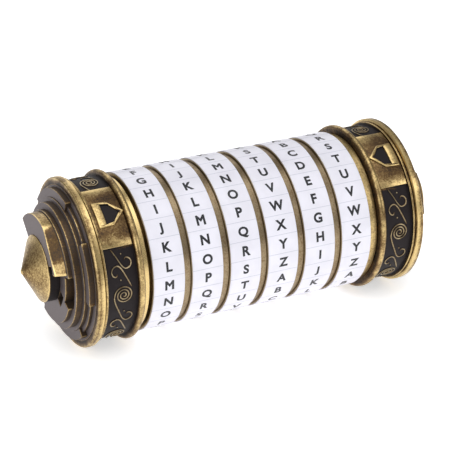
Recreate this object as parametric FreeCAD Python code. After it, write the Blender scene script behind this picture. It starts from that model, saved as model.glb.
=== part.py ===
"""Letter-lock cylinder (cryptex) with six dials, modelled as the separate pieces it is made of.

The axis of the cylinder is X and Z is up.  The origin is on the axis, midway between the third
and the fourth dial.  A slotted guide tube carries the dials and the spacers between them.  The
drawer, which is the right cap with its canister and six lock pins, leaves towards +X when every
dial shows its code letter.  The left cap is a nut on the tube's threaded end: unscrewing it frees
the dials, so that the code can be changed.

Angles are in degrees about +X, from 0 at the top (+Z) towards the front (-Y).
Lengths along the axis that hold for either end are called stations: distances from the origin.
"""
import FreeCAD, Part
import math
import os
from FreeCAD import Vector

# ---- dials ------------------------------------------------------------------------------------
DIAL_COUNT = 6
LETTER_COUNT = 26
DIAL_PITCH = 12.0          # from one dial to the next
DIAL_GAP = 2.1             # between two dials, where a spacer sits
LABEL_RADIUS = 23.5        # outside of the white letter band
LABEL_THICKNESS = 0.3
LABEL_LIP = 0.2            # metal left bare on each side of the band
LETTER_RING_WALL = 3.2
LETTER_RING_CHAMFER = 0.25
CODE_NOTCH_RADIUS = 0.9    # the notches inside a letter ring that the code ring's lugs fit
CODE_FIT = 0.1             # radial clearance between code ring and letter ring
CODE_WEB = 3.95            # the wall of a code ring that stops the pins
GATE_ROOM = 0.5            # past the tip of a pin, in every gate and groove
GATE_SIDE = 0.3            # on each side of a pin, in every gate
SPACER_DROP = 0.9          # how far a spacer lies below the letter band
SIDE_PLAY = 0.1            # end play of each turning piece

# ---- guide tube, canister and pins ------------------------------------------------------------
TUBE_RADIUS = 11.5
CANISTER_RADIUS = 9.8
CANISTER_WALL = 1.0
CANISTER_FLOOR = 2.0
CANISTER_OVERHANG = 1.55   # how far the canister's mouth lies past the first dial
RUNNING_FIT = 0.08         # radial clearance of what turns or slides on a round
PIN_RADIUS = 1.5
PIN_REACH = 4.2            # out of the canister
PIN_TO_WEB = 0.7           # between a pin and the web that stops it
SLOT_SIDE = 0.2            # on each side of a pin, in the tube's slot
KEY_WIDTH = 2.0
KEY_DEPTH = 0.9
KEY_PLAY = 0.1
COLLAR_WIDTH = 2.45        # the fixed collar at the tube's right end
COLLAR_DROP = 0.9          # how far the collar lies below the letter band
CAP_SEAM = 0.1             # between the collar and the right cap

# ---- threaded end -----------------------------------------------------------------------------
THREAD_PITCH = 1.5
THREAD_TURNS = 4.5         # turns of thread in the left cap
UNSCREW_TURNS = 3.0        # turns before the last full turn of engagement
THREAD_CLEARANCE = 0.05
WASHER_THICKNESS = 0.5
WASHER_HUB_WALL = 1.02
WASHER_HUB_LENGTH = 2.0
CLIP_THICKNESS = 0.5
CLIP_HEIGHT = 1.4
CLIP_GROOVE = 0.5          # depth of the clip's groove in the hub

# ---- caps -------------------------------------------------------------------------------------
CAP_RADIUS = 25.0          # crest of the bead and of the rim
BEAD_WIDTH = 2.0
BEAD_DROP = 1.1            # from the crest to where the bead's flanks start
FLOOR_WIDTH = 9.4          # the ornamented band between bead and rim
FLOOR_DEPTH = 1.7          # from the crest down to the floor of that band
RIM_FLANK = 0.7
RIM_LAND = 1.7
RIM_ROUND = 0.6
CAP_WALL = 2.8             # under the floor of the band
CAP_WEB = 3.0              # disc that closes a cap towards the dials
PANEL_COUNT = 2
PANEL_ANGLE = 48.0
PANEL_HEIGHT = 0.6
POINTER_HEIGHT = 0.55      # of the pointer's frame above its panel
POINTER_RECESS = 0.3       # depth of the hollow in the pointer, below the panel
POINTER_LENGTH = 8.6
POINTER_HALF_WIDTH = 4.1
POINTER_SHOULDER = 4.4     # from the pointer's base to where its sides turn in
POINTER_BAR = 3.1          # width of the frame along the pointer's base
POINTER_FRAME = 0.95       # width of the frame along the pointer's sides

# ---- end covers: a flat spiral maze of steps round a cone -------------------------------------
COVER_SEAT = 2.0
COVER_DROP = 2.2           # from the crest down to the edge of the cover
COVER_FIT = 0.05
LOW_STEP = (1.0, 20.9)     # height above the cap's end face, radius
RING_STEP = (2.2, 19.6)
ARC_STEP = (1.8, 22.2)
DISC_STEP = (4.2, 18.4)
MAZE_STEP = (5.6, 16.5)
CROWN_STEP = (8.6, 16.1)
CROWN_FACET = 13.3          # from the axis to the crown's flat side, at its summit
FACET_LEAN = 43.0           # of the flat side, in degrees from the axis
NOTCH_RADIUS = 15.0         # of what is left of the upper steps in a cover's notch
NOTCH_ANGLE = 100.0
CROWN_CHANNEL = 12.4        # inside of the crown's wall, where it stands alone
MAZE_WALL = 1.3
MAZE_CUT_RADIUS = 13.7
MAZE_CUT_DEPTH = 2.8
CONE_RADIUS = 9.8
CONE_WALL_HEIGHT = 8.9     # top of the cone's straight wall, above the end face
CONE_TIP_HEIGHT = 13.9
CONE_TIP_RADIUS = 1.3
CONE_SPIGOT_RADIUS = 4.0
POST_RADIUS = 2.6          # posts under the cover, which its screws enter
SCREW_CIRCLE = 17.2
SCREW_COUNT = 3
SCREW_RADIUS = 1.25
SCREW_HEAD_RADIUS = 2.3
SCREW_HEAD_HEIGHT = 1.3
SCREW_FIT = 0.05
SCREW_IN_POST = 4.0
CANISTER_SCREW_CIRCLE = 5.2
CANISTER_SCREW_GRIP = 2.4  # of a canister screw in the right cap

# ---- angles -----------------------------------------------------------------------------------
INDEX_ANGLE = 34.0         # where slot, pins, gates and pointers lie
LEFT_CAP_TURN = 0.5        # where the left cap's thread stops, from the index
RIGHT_CAP_TURN = -2.5
LEFT_ARCS = ((-19.5, 69.0), (75.0, 48.0), (163.5, 51.0), (247.5, 33.0))   # centre, extent
RIGHT_ARCS = ((64.5, 33.0), (148.5, 51.0), (237.0, 48.0), (331.5, 69.0))
LEFT_CROWN_TURN = 0.0
RIGHT_CROWN_TURN = 243.0

# ---- what follows from the sizes --------------------------------------------------------------
RING_WIDTH = DIAL_PITCH - DIAL_GAP
LABEL_WIDTH = RING_WIDTH - 2 * LABEL_LIP
SPACER_WIDTH = DIAL_GAP - 2 * SIDE_PLAY
RING_RADIUS = LABEL_RADIUS - LABEL_THICKNESS
RING_BORE = RING_RADIUS - LETTER_RING_WALL
CODE_RADIUS = RING_BORE - CODE_FIT
BORE_ON_TUBE = TUBE_RADIUS + RUNNING_FIT
PIN_TIP = CANISTER_RADIUS + PIN_REACH
GATE_RADIUS = PIN_TIP + GATE_ROOM
GATE_WIDTH = 2 * (PIN_RADIUS + GATE_SIDE)
SLOT_WIDTH = 2 * (PIN_RADIUS + SLOT_SIDE)
TUBE_BORE = CANISTER_RADIUS + RUNNING_FIT
KEY_ANGLE = INDEX_ANGLE + 180.0
STACK_HALF = (DIAL_COUNT * DIAL_PITCH - DIAL_GAP) / 2
PIN_SHIFT = RING_WIDTH / 2 - CODE_WEB - PIN_TO_WEB - PIN_RADIUS
COLLAR_START = STACK_HALF + SIDE_PLAY
COLLAR_END = COLLAR_START + COLLAR_WIDTH
CAP_FACE = COLLAR_END + CAP_SEAM
BEAD_END = CAP_FACE + BEAD_WIDTH
FLOOR_END = BEAD_END + FLOOR_WIDTH
LAND_START = FLOOR_END + RIM_FLANK
LAND_END = LAND_START + RIM_LAND
END_FACE = LAND_END + RIM_ROUND
FLOOR_RADIUS = CAP_RADIUS - FLOOR_DEPTH
PANEL_RADIUS = FLOOR_RADIUS + PANEL_HEIGHT
POINTER_RADIUS = PANEL_RADIUS + POINTER_HEIGHT
CAP_BORE = FLOOR_RADIUS - CAP_WALL
COVER_RADIUS = CAP_RADIUS - COVER_DROP
COVER_START = END_FACE - COVER_SEAT
WEB_END = CAP_FACE + CAP_WEB
WASHER_START = STACK_HALF + SIDE_PLAY
WASHER_END = WASHER_START + WASHER_THICKNESS
LEFT_FACE = WASHER_END + SIDE_PLAY
HUB_END = WASHER_END + WASHER_HUB_LENGTH
HUB_RADIUS = BORE_ON_TUBE + WASHER_HUB_WALL
CLIP_END = HUB_END - CLIP_GROOVE / 2
CLIP_START = CLIP_END - CLIP_THICKNESS
CLIP_RADIUS = HUB_RADIUS + CLIP_HEIGHT
THREAD_START = HUB_END + 2 * SIDE_PLAY
THREAD_END = THREAD_START + THREAD_TURNS * THREAD_PITCH
THREAD_BORE = TUBE_RADIUS + THREAD_CLEARANCE
TUBE_LEFT_END = THREAD_END - THREAD_PITCH / 2
SLEEVE_RADIUS = SCREW_CIRCLE - POST_RADIUS - SIDE_PLAY
EDGE = 0.5                 # how far cutting shapes stand past what they cut

X_AXIS = Vector(1, 0, 0)
ORIGIN = Vector(0, 0, 0)


# ---- shapes about the axis --------------------------------------------------------------------
def disc(start, end, radius):
    """A cylinder on the axis."""
    return Part.makeCylinder(radius, end - start, Vector(start, 0, 0), X_AXIS)


def ring(start, end, inner, outer):
    """A plain ring on the axis."""
    return disc(start, end, outer).cut(disc(start - EDGE, end + EDGE, inner))


def turned(outline):
    """The solid turned from a closed outline of (x, radius) points."""
    points = [Vector(x, 0, radius) for x, radius in outline]
    wire = Part.makePolygon(points + points[:1])
    return Part.Face(wire).revolve(ORIGIN, X_AXIS, 360)


def at_angle(shape, angle):
    """The shape turned about the axis, from the top towards the front."""
    copy = shape.copy()
    copy.rotate(ORIGIN, X_AXIS, angle)
    return copy


def sector(start, end, inner, outer, centre, extent):
    """A piece of a ring, as wide as extent in degrees."""
    corners = [Vector(start, 0, inner), Vector(end, 0, inner), Vector(end, 0, outer), Vector(start, 0, outer)]
    face = Part.Face(Part.makePolygon(corners + corners[:1]))
    return at_angle(face.revolve(ORIGIN, X_AXIS, extent), centre - extent / 2)


def gate(start, end, width, outer, angle):
    """The cutting block of a slot that opens towards the axis."""
    block = Part.makeBox(end - start, width, outer, Vector(start, -width / 2, 0))
    return at_angle(block, angle)


def rod(start, end, radius, circle, angle):
    """A cylinder parallel to the axis, on a circle about it."""
    bar = Part.makeCylinder(radius, end - start, Vector(start, 0, circle), X_AXIS)
    return at_angle(bar, angle)


def to_left(shape):
    """A right-hand shape made into a left-hand one."""
    return shape.mirror(ORIGIN, X_AXIS)


def angles(count, first):
    """Evenly spaced angles, the first one given."""
    return [first + index * 360.0 / count for index in range(count)]


# ---- the dials and what lies between them -----------------------------------------------------
def dial_centre(number):
    return (number - (DIAL_COUNT + 1) / 2) * DIAL_PITCH


def letter_ring(number):
    """The metal ring under the letters, with a notch inside for every letter."""
    centre = dial_centre(number)
    left, right = centre - RING_WIDTH / 2, centre + RING_WIDTH / 2
    cut = LETTER_RING_CHAMFER
    body = turned([(left, RING_BORE), (left, RING_RADIUS - cut), (left + cut / 2, RING_RADIUS),
                   (right - cut / 2, RING_RADIUS), (right, RING_RADIUS - cut), (right, RING_BORE)])
    notches = [rod(left - EDGE, right + EDGE, CODE_NOTCH_RADIUS, RING_BORE, angle)
               for angle in angles(LETTER_COUNT, INDEX_ANGLE)]
    return body.cut(Part.makeCompound(notches))


def label(number):
    """The white band that carries the letters."""
    centre = dial_centre(number)
    return ring(centre - LABEL_WIDTH / 2, centre + LABEL_WIDTH / 2, RING_RADIUS, LABEL_RADIUS)


def code_ring(number):
    """The inner ring: its lugs set the code, and its web stops the pin except at the gate."""
    centre = dial_centre(number)
    left, right = centre - RING_WIDTH / 2, centre + RING_WIDTH / 2
    web = right - CODE_WEB
    body = turned([(left, GATE_RADIUS), (left, CODE_RADIUS), (right, CODE_RADIUS), (right, BORE_ON_TUBE),
                   (web, BORE_ON_TUBE), (web, GATE_RADIUS)])
    lug = CODE_NOTCH_RADIUS - CODE_FIT
    for angle in angles(2, INDEX_ANGLE):
        body = body.fuse(rod(left, right, lug, CODE_RADIUS, angle))
    return body.cut(gate(left - EDGE, right + EDGE, GATE_WIDTH, GATE_RADIUS, INDEX_ANGLE))


def key_block(start, end, play):
    """What fills the tube's keyway, less the given play on each side."""
    depth = KEY_DEPTH - play
    floor = TUBE_RADIUS - depth
    block = Part.makeBox(end - start, KEY_WIDTH - 2 * play, depth + EDGE + RUNNING_FIT,
                         Vector(start, play - KEY_WIDTH / 2, floor))
    return at_angle(block, KEY_ANGLE)


def spacer(number):
    """The fixed ring between two dials, keyed to the tube."""
    centre = dial_centre(number) + DIAL_PITCH / 2
    left, right = centre - SPACER_WIDTH / 2, centre + SPACER_WIDTH / 2
    body = ring(left, right, BORE_ON_TUBE, LABEL_RADIUS - SPACER_DROP)
    body = body.fuse(key_block(left, right, KEY_PLAY))
    return body.cut(gate(left - EDGE, right + EDGE, GATE_WIDTH, GATE_RADIUS, INDEX_ANGLE))


# ---- the tube and the drawer ------------------------------------------------------------------
def pin_place(number):
    return dial_centre(number) + PIN_SHIFT


def guide_tube():
    """The slotted tube that everything is built on."""
    body = ring(-TUBE_LEFT_END, COLLAR_END, TUBE_BORE, TUBE_RADIUS)
    slot_start = pin_place(1) - PIN_RADIUS - GATE_ROOM
    body = body.cut(gate(slot_start, COLLAR_END + EDGE, SLOT_WIDTH, CAP_RADIUS, INDEX_ANGLE))
    return body.cut(key_block(-TUBE_LEFT_END - EDGE, STACK_HALF, 0.0))


def end_collar():
    """The fixed ring that stops the last dial, with a gate for the pins."""
    edge = LABEL_RADIUS - COLLAR_DROP
    cut = LETTER_RING_CHAMFER
    body = turned([(COLLAR_START, TUBE_RADIUS), (COLLAR_START, edge), (COLLAR_END - cut, edge),
                   (COLLAR_END, edge - cut), (COLLAR_END, TUBE_RADIUS)])
    return body.cut(gate(COLLAR_START - EDGE, COLLAR_END + EDGE, GATE_WIDTH, GATE_RADIUS, INDEX_ANGLE))


def screw(start, end, circle, angle):
    """A countersunk screw, its head's face at start."""
    cone = Part.makeCone(SCREW_HEAD_RADIUS, SCREW_RADIUS, SCREW_HEAD_HEIGHT, Vector(start, 0, circle), X_AXIS)
    body = at_angle(cone, angle).fuse(rod(start, end, SCREW_RADIUS, circle, angle))
    drive = Part.makeBox(SCREW_HEAD_HEIGHT / 2, 2 * SCREW_RADIUS, SCREW_RADIUS / 2,
                         Vector(start, -SCREW_RADIUS, circle - SCREW_RADIUS / 4))
    return body.cut(at_angle(drive, angle))


def screw_hole(start, end, circle, angle):
    """The hole of such a screw, a little larger all round."""
    grow = SCREW_FIT
    head = Part.makeCone(SCREW_HEAD_RADIUS + grow, SCREW_RADIUS + grow, SCREW_HEAD_HEIGHT,
                         Vector(start, 0, circle), X_AXIS)
    mouth = rod(start - EDGE, start, SCREW_HEAD_RADIUS + grow, circle, angle)
    shank = rod(start, end + grow, SCREW_RADIUS + grow, circle, angle)
    return Part.makeCompound([at_angle(head, angle), mouth, shank])


def drill(body, start, end, circle, count):
    """The body with a circle of screw holes."""
    for angle in angles(count, INDEX_ANGLE + 60.0):
        for tool in screw_hole(start, end, circle, angle).Solids:
            body = body.cut(tool)
    return body


def screws(start, end, circle):
    """A circle of screws."""
    return Part.makeCompound([screw(start, end, circle, angle)
                              for angle in angles(SCREW_COUNT, INDEX_ANGLE + 60.0)])


CANISTER_SCREW_START = CAP_FACE - CANISTER_FLOOR
CANISTER_SCREW_END = CAP_FACE + CANISTER_SCREW_GRIP


def pin(number, reach, grow):
    """A lock pin, or with grow the hole that it is set in."""
    foot = CANISTER_RADIUS - CANISTER_WALL * (0.9 if grow == 0 else 2.0)
    body = Part.makeCylinder(PIN_RADIUS + grow, reach - foot, Vector(pin_place(number), 0, foot))
    return at_angle(body, INDEX_ANGLE)


def canister():
    """The inner container, open at its left end, closed by the right cap's screws."""
    body = disc(-STACK_HALF - CANISTER_OVERHANG, CAP_FACE, CANISTER_RADIUS)
    hollow = disc(-STACK_HALF - CANISTER_OVERHANG - EDGE, CAP_FACE - CANISTER_FLOOR, CANISTER_RADIUS - CANISTER_WALL)
    body = body.cut(hollow)
    for number in range(1, DIAL_COUNT + 1):
        body = body.cut(pin(number, PIN_TIP, 0.01))
    return drill(body, CANISTER_SCREW_START, CANISTER_SCREW_END, CANISTER_SCREW_CIRCLE, SCREW_COUNT)


def lock_pins():
    """The six pins, one for each dial."""
    tip = PIN_RADIUS / 3
    pins = []
    for number in range(1, DIAL_COUNT + 1):
        body = pin(number, PIN_TIP, 0)
        top = [edge for edge in body.Edges if edge.CenterOfMass.Length > PIN_TIP * 0.999 and edge.Closed
               and abs(edge.CenterOfMass.x - pin_place(number)) < 0.01
               and math.hypot(edge.CenterOfMass.y, edge.CenterOfMass.z) > PIN_TIP - 0.01]
        pins.append(body.makeChamfer(tip / 2, top))
    return Part.makeCompound(pins)


# ---- the caps ---------------------------------------------------------------------------------
def arc_points(first, middle, last, count):
    """Points along the arc through three (x, radius) points."""
    curve = Part.Arc(Vector(first[0], 0, first[1]), Vector(middle[0], 0, middle[1]), Vector(last[0], 0, last[1]))
    return [(point.x, point.z) for point in curve.toShape().discretize(count)]


def cap_section():
    """Outer outline of a cap, from the dial side to the end face: bead, floor and rim."""
    flank = CAP_RADIUS - BEAD_DROP
    bead = arc_points((CAP_FACE, flank), (CAP_FACE + BEAD_WIDTH / 2, CAP_RADIUS), (BEAD_END, flank), 13)
    rim = arc_points((LAND_END, CAP_RADIUS), (END_FACE - RIM_ROUND * 0.3, CAP_RADIUS - RIM_ROUND * 0.3),
                     (END_FACE, CAP_RADIUS - RIM_ROUND), 7)
    foot = (FLOOR_END, FLOOR_RADIUS + RIM_FLANK / 2)
    return bead + [(BEAD_END, FLOOR_RADIUS), (FLOOR_END, FLOOR_RADIUS), foot, (LAND_START, CAP_RADIUS)] + rim


def pointer(centre):
    """The house-shaped frame on a panel, its tip towards the dials."""
    base = FLOOR_END - (FLOOR_WIDTH - POINTER_LENGTH)
    tip = base - POINTER_LENGTH
    shoulder = base - POINTER_SHOULDER
    half = POINTER_HALF_WIDTH
    outer = [(base, -half), (base, half), (shoulder, half * 0.94), (tip, 0), (shoulder, -half * 0.94)]
    inner_half = half - POINTER_FRAME
    inner = [(base - POINTER_BAR, -inner_half), (base - POINTER_BAR, inner_half),
             (shoulder - POINTER_FRAME / 3, inner_half * 0.94), (tip + 1.5 * POINTER_FRAME, 0),
             (shoulder - POINTER_FRAME / 3, -inner_half * 0.94)]
    band = ring(tip, base, FLOOR_RADIUS, POINTER_RADIUS)
    well = ring(tip, base, PANEL_RADIUS - POINTER_RECESS, CAP_RADIUS)
    frame = at_angle(prism(outer).common(band), centre)
    return frame, at_angle(prism(inner).common(well), centre)


def prism(outline):
    """A tall block over an outline of (x, y) points, from the axis outwards."""
    points = [Vector(x, y, CAP_BORE) for x, y in outline]
    face = Part.Face(Part.makePolygon(points + points[:1]))
    return face.extrude(Vector(0, 0, CAP_RADIUS - CAP_BORE))


def cap_shell(web_inner, first_panel):
    """A cap with its panels and pointers, hollow behind its web, open for the cover."""
    outline = [(CAP_FACE, web_inner)] + cap_section()
    outline += [(END_FACE, COVER_RADIUS + COVER_FIT), (COVER_START, COVER_RADIUS + COVER_FIT),
                (COVER_START, CAP_BORE), (WEB_END, CAP_BORE), (WEB_END, web_inner)]
    body = turned(outline)
    for centre in angles(PANEL_COUNT, first_panel):
        panel = sector(BEAD_END, FLOOR_END, FLOOR_RADIUS - CAP_WALL / 2, PANEL_RADIUS, centre, PANEL_ANGLE)
        frame, well = pointer(centre)
        body = body.fuse(panel).fuse(frame).cut(well)
    return body


COVER_SCREW_END = WEB_END + SCREW_IN_POST


def right_cap():
    """The cap of the drawer: its web is a whole disc that the canister is screwed to."""
    body = cap_shell(TUBE_BORE - CANISTER_WALL, INDEX_ANGLE + RIGHT_CAP_TURN)
    body = body.fuse(disc(CAP_FACE, WEB_END, TUBE_BORE))
    body = drill(body, CAP_FACE, COVER_SCREW_END, SCREW_CIRCLE, SCREW_COUNT)
    return drill(body, CANISTER_SCREW_START, CANISTER_SCREW_END, CANISTER_SCREW_CIRCLE, SCREW_COUNT)


def left_cap():
    """The nut: a flange, a threaded sleeve and a groove that holds the washer's clip."""
    body = cap_shell(THREAD_BORE, INDEX_ANGLE + LEFT_CAP_TURN)
    edge = LABEL_RADIUS - COLLAR_DROP
    body = body.fuse(ring(LEFT_FACE, CAP_FACE, THREAD_BORE, edge))
    body = body.fuse(ring(CAP_FACE, THREAD_END, THREAD_BORE, SLEEVE_RADIUS))
    body = body.cut(disc(LEFT_FACE - EDGE, HUB_END + SIDE_PLAY, HUB_RADIUS + SIDE_PLAY))
    body = body.cut(disc(CLIP_START - SIDE_PLAY, CLIP_END + SIDE_PLAY, CLIP_RADIUS + 2 * SIDE_PLAY))
    return to_left(drill(body, LEFT_FACE, COVER_SCREW_END, SCREW_CIRCLE, SCREW_COUNT))


def thrust_washer():
    """The keyed washer that keeps the first dial from turning the nut."""
    body = ring(WASHER_START, WASHER_END, BORE_ON_TUBE, CODE_RADIUS)
    body = body.fuse(ring(WASHER_END, HUB_END, BORE_ON_TUBE, HUB_RADIUS))
    groove = ring(CLIP_START, CLIP_END, HUB_RADIUS - CLIP_GROOVE, CAP_RADIUS)
    return to_left(body.cut(groove).fuse(key_block(WASHER_START, HUB_END, KEY_PLAY)))


def washer_clip():
    """The open spring clip that keeps the washer in the left cap."""
    body = ring(CLIP_START, CLIP_END, HUB_RADIUS - CLIP_GROOVE, CLIP_RADIUS)
    return to_left(body.cut(gate(CLIP_START - EDGE, CLIP_END + EDGE, 2 * KEY_WIDTH, CAP_RADIUS, KEY_ANGLE)))


def crown(start, end):
    """The raised crown round the cone: whole over most of its arc, then its wall alone."""
    whole = sector(start, end, CONE_RADIUS + COVER_FIT, CROWN_STEP[1], 7.5, 111.0)
    wall = sector(start, end, CROWN_CHANNEL, CROWN_STEP[1], 69.0, 12.0)
    reach = CROWN_STEP[1]
    beyond = Part.makeBox(3 * reach, 2 * reach, reach, Vector(end - 1.5 * reach, -reach, CROWN_FACET))
    beyond.rotate(Vector(end, 0, CROWN_FACET), Vector(0, 1, 0), FACET_LEAN)
    return whole.fuse(wall).cut(at_angle(beyond, 54.0))


def tier_cover(arcs, crown_turn, notch):
    """The stepped end cover, with the posts that its screws enter."""
    def top(step):
        return END_FACE + step[0]

    body = disc(COVER_START, END_FACE, COVER_RADIUS)
    for step in (LOW_STEP, RING_STEP, DISC_STEP, MAZE_STEP):
        body = body.fuse(disc(COVER_START, top(step), step[1]))
    for centre, extent in arcs:
        body = body.fuse(sector(COVER_START, top(ARC_STEP), DISC_STEP[1] - MAZE_WALL, ARC_STEP[1], centre, extent))
    base, summit = top(MAZE_STEP), top(CROWN_STEP)
    body = body.fuse(at_angle(crown(base - EDGE, summit), crown_turn))
    floor = base - MAZE_CUT_DEPTH
    reach = MAZE_STEP[1] + MAZE_WALL / 2
    cuts = [sector(floor, summit, MAZE_CUT_RADIUS, reach, 96.0, 36.0),
            sector(floor, summit, CONE_RADIUS + COVER_FIT, CROWN_CHANNEL, 123.0, 24.0),
            sector(floor, summit, MAZE_CUT_RADIUS, reach, 285.0, 30.0)]
    for tool in cuts:
        body = body.cut(at_angle(tool, crown_turn))
    body = body.cut(sector(top(RING_STEP), summit, NOTCH_RADIUS, DISC_STEP[1] + MAZE_WALL / 2, notch, NOTCH_ANGLE))
    for angle in angles(SCREW_COUNT, INDEX_ANGLE + 60.0):
        body = body.fuse(rod(WEB_END, END_FACE, POST_RADIUS, SCREW_CIRCLE, angle))
        body = body.cut(rod(WEB_END - EDGE, COVER_SCREW_END + SCREW_FIT, SCREW_RADIUS + SCREW_FIT,
                            SCREW_CIRCLE, angle))
    return body.cut(disc(COVER_START - EDGE, END_FACE + CONE_TIP_HEIGHT, CONE_SPIGOT_RADIUS))


def cone():
    """The finial: a cone on a straight wall, with a spigot pressed into the cover."""
    base = END_FACE + MAZE_STEP[0]
    wall = END_FACE + CONE_WALL_HEIGHT
    tip = END_FACE + CONE_TIP_HEIGHT
    flank = arc_points((tip - CONE_TIP_RADIUS * 0.35, CONE_TIP_RADIUS),
                       (tip - CONE_TIP_RADIUS * 0.1, CONE_TIP_RADIUS * 0.55), (tip, 0), 7)
    inner = CONE_RADIUS - MAZE_WALL
    return turned([(COVER_START, 0), (COVER_START, CONE_SPIGOT_RADIUS), (base, CONE_SPIGOT_RADIUS),
                   (base, inner), (base, CONE_RADIUS), (wall, CONE_RADIUS)] + flank)


# ---- writing the pieces -----------------------------------------------------------------------
def pieces():
    """Every piece under the name of its node."""
    made = {"guide_tube": guide_tube(), "end_collar": end_collar()}
    for number in range(1, DIAL_COUNT):
        made["spacer_%d" % number] = spacer(number)
    for number in range(1, DIAL_COUNT + 1):
        made["letter_ring_%d" % number] = letter_ring(number)
        made["label_%d" % number] = label(number)
        made["code_ring_%d" % number] = code_ring(number)
    finial = cone()
    made["right_cap"] = right_cap()
    made["right_tier_cover"] = tier_cover(RIGHT_ARCS, RIGHT_CROWN_TURN, 65.0)
    made["right_cone"] = finial
    made["right_cover_screws"] = screws(CAP_FACE, COVER_SCREW_END, SCREW_CIRCLE)
    made["canister"] = canister()
    made["canister_screws"] = screws(CANISTER_SCREW_START, CANISTER_SCREW_END, CANISTER_SCREW_CIRCLE)
    made["lock_pins"] = lock_pins()
    made["left_cap"] = left_cap()
    made["left_tier_cover"] = to_left(tier_cover(LEFT_ARCS, LEFT_CROWN_TURN, 247.0))
    made["left_cone"] = to_left(finial)
    made["left_cover_screws"] = to_left(screws(LEFT_FACE, COVER_SCREW_END, SCREW_CIRCLE))
    made["thrust_washer"] = thrust_washer()
    made["washer_clip"] = washer_clip()
    return made


os.makedirs("parts", exist_ok=True)
for node, shape in pieces().items():
    shape.exportStep("parts/%s.step" % node)
    box = shape.BoundBox
    print("%-20s solids %d valid %s x %.2f..%.2f r %.2f" % (node, len(shape.Solids), shape.isValid(),
                                                          box.XMin, box.XMax, box.ZMax))
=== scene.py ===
"""Looks of a letter-lock cylinder: printed dials between two ornamented caps of aged brass.

The axis of the cylinder is X and the object lies on the floor below it.  Angles are in degrees
about +X, from 0 at the top towards the front (-Y).  Stations are distances from the middle of the
cylinder along its axis, and hand is +1 for the right end and -1 for the left end.
"""
import math
import bmesh
import bpy
from bpy.props import FloatProperty, FloatVectorProperty, IntProperty, PointerProperty, StringProperty
from mathutils import Matrix, Vector


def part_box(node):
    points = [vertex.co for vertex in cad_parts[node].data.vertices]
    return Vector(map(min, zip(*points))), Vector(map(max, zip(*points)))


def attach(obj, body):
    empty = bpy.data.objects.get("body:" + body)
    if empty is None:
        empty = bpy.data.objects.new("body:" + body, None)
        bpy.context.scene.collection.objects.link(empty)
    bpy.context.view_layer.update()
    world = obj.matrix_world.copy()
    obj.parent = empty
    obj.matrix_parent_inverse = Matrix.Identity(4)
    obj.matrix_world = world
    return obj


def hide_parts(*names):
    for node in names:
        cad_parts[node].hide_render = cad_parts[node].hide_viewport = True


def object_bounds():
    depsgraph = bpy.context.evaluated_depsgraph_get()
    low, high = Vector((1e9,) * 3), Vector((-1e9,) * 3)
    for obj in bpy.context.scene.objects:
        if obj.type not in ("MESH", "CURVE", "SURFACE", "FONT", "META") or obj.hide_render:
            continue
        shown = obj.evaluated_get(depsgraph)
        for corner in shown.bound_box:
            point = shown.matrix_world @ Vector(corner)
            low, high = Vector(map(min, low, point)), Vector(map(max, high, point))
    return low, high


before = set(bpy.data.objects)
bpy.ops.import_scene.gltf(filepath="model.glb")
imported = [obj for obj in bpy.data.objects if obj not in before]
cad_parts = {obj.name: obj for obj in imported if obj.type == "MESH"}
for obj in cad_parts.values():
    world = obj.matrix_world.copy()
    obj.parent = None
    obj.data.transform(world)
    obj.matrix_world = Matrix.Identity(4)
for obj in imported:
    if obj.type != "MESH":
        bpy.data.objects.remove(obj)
cad_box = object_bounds()

bl_info = {
    "name": "Letter-lock cylinder",
    "version": (1, 0, 0),
    "blender": (4, 5, 0),
    "location": "3D View > Sidebar > Letter Lock",
    "description": "Builds the visible pieces and finishes of a letter-lock cylinder",
    "category": "Object",
}

# ---- sizes that the frame gives -----------------------------------------------------------------
MM = 0.001
DIAL_COUNT = len([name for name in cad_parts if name.startswith("label_")])
LABEL_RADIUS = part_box("label_1")[1].z
CAP_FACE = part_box("right_cap")[0].x
END_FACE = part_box("right_cap")[1].x
CAP_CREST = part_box("right_cap")[1].z
LEFT_FACE = -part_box("left_cap")[1].x
COVER_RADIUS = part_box("right_tier_cover")[1].z
CONE_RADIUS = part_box("right_cone")[1].z
CONE_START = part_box("right_cone")[0].x
CONE_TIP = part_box("right_cone")[1].x
COLLAR_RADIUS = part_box("end_collar")[1].z
FLOOR_LEVEL = cad_box[0][2]

# ---- sizes of the caps that the frame's boxes don't give ----------------------------------------
BEAD_WIDTH = 2.0 * MM
BEAD_DROP = 1.1 * MM
BAND_WIDTH = 9.25 * MM         # the sunk band that carries panels and scrolls
BAND_DEPTH = 1.7 * MM
RIM_ROUND = 0.6 * MM
RIDGE_WIDTH = 0.55 * MM        # the low ridge between band and rim
RIDGE_HEIGHT = 1.0 * MM
GROOVE_HEIGHT = 0.6 * MM
COVER_SEAT = 2.0 * MM
CAP_WALL = 2.8 * MM
CAP_WEB = 3.0 * MM
HUB_BORE = 12.7 * MM           # inside the left cap, round the washer's hub
SLEEVE_RADIUS = 14.5 * MM
SLEEVE_LENGTH = 7.7 * MM       # of the left cap's threaded sleeve, past its web's start
THREAD_BORE = 11.55 * MM
WEB_BORE = 8.5 * MM            # of the right cap, behind the canister's end
BAND_RADIUS = CAP_CREST - BAND_DEPTH
BEAD_END = CAP_FACE + BEAD_WIDTH
BAND_END = BEAD_END + BAND_WIDTH
LAND_END = END_FACE - RIM_ROUND

# ---- how finely things are turned ---------------------------------------------------------------
STEP = 3.0                     # degrees from one turned section to the next
TURN_STEPS = int(360 / STEP)
AXIS = Vector((1, 0, 0))
MIDDLE = Vector((0, 0, 0))
WELD = 1e-7
SHARP = math.radians(38)
STRIP_WIDTH = 1.1 * MM         # of the strips that a flat piece is cut in before it is bent
NEAR = 0.1 * MM                # how far off a surface a point still counts as on it
HAIR = 0.02 * MM               # the same, where surfaces lie close together

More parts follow.
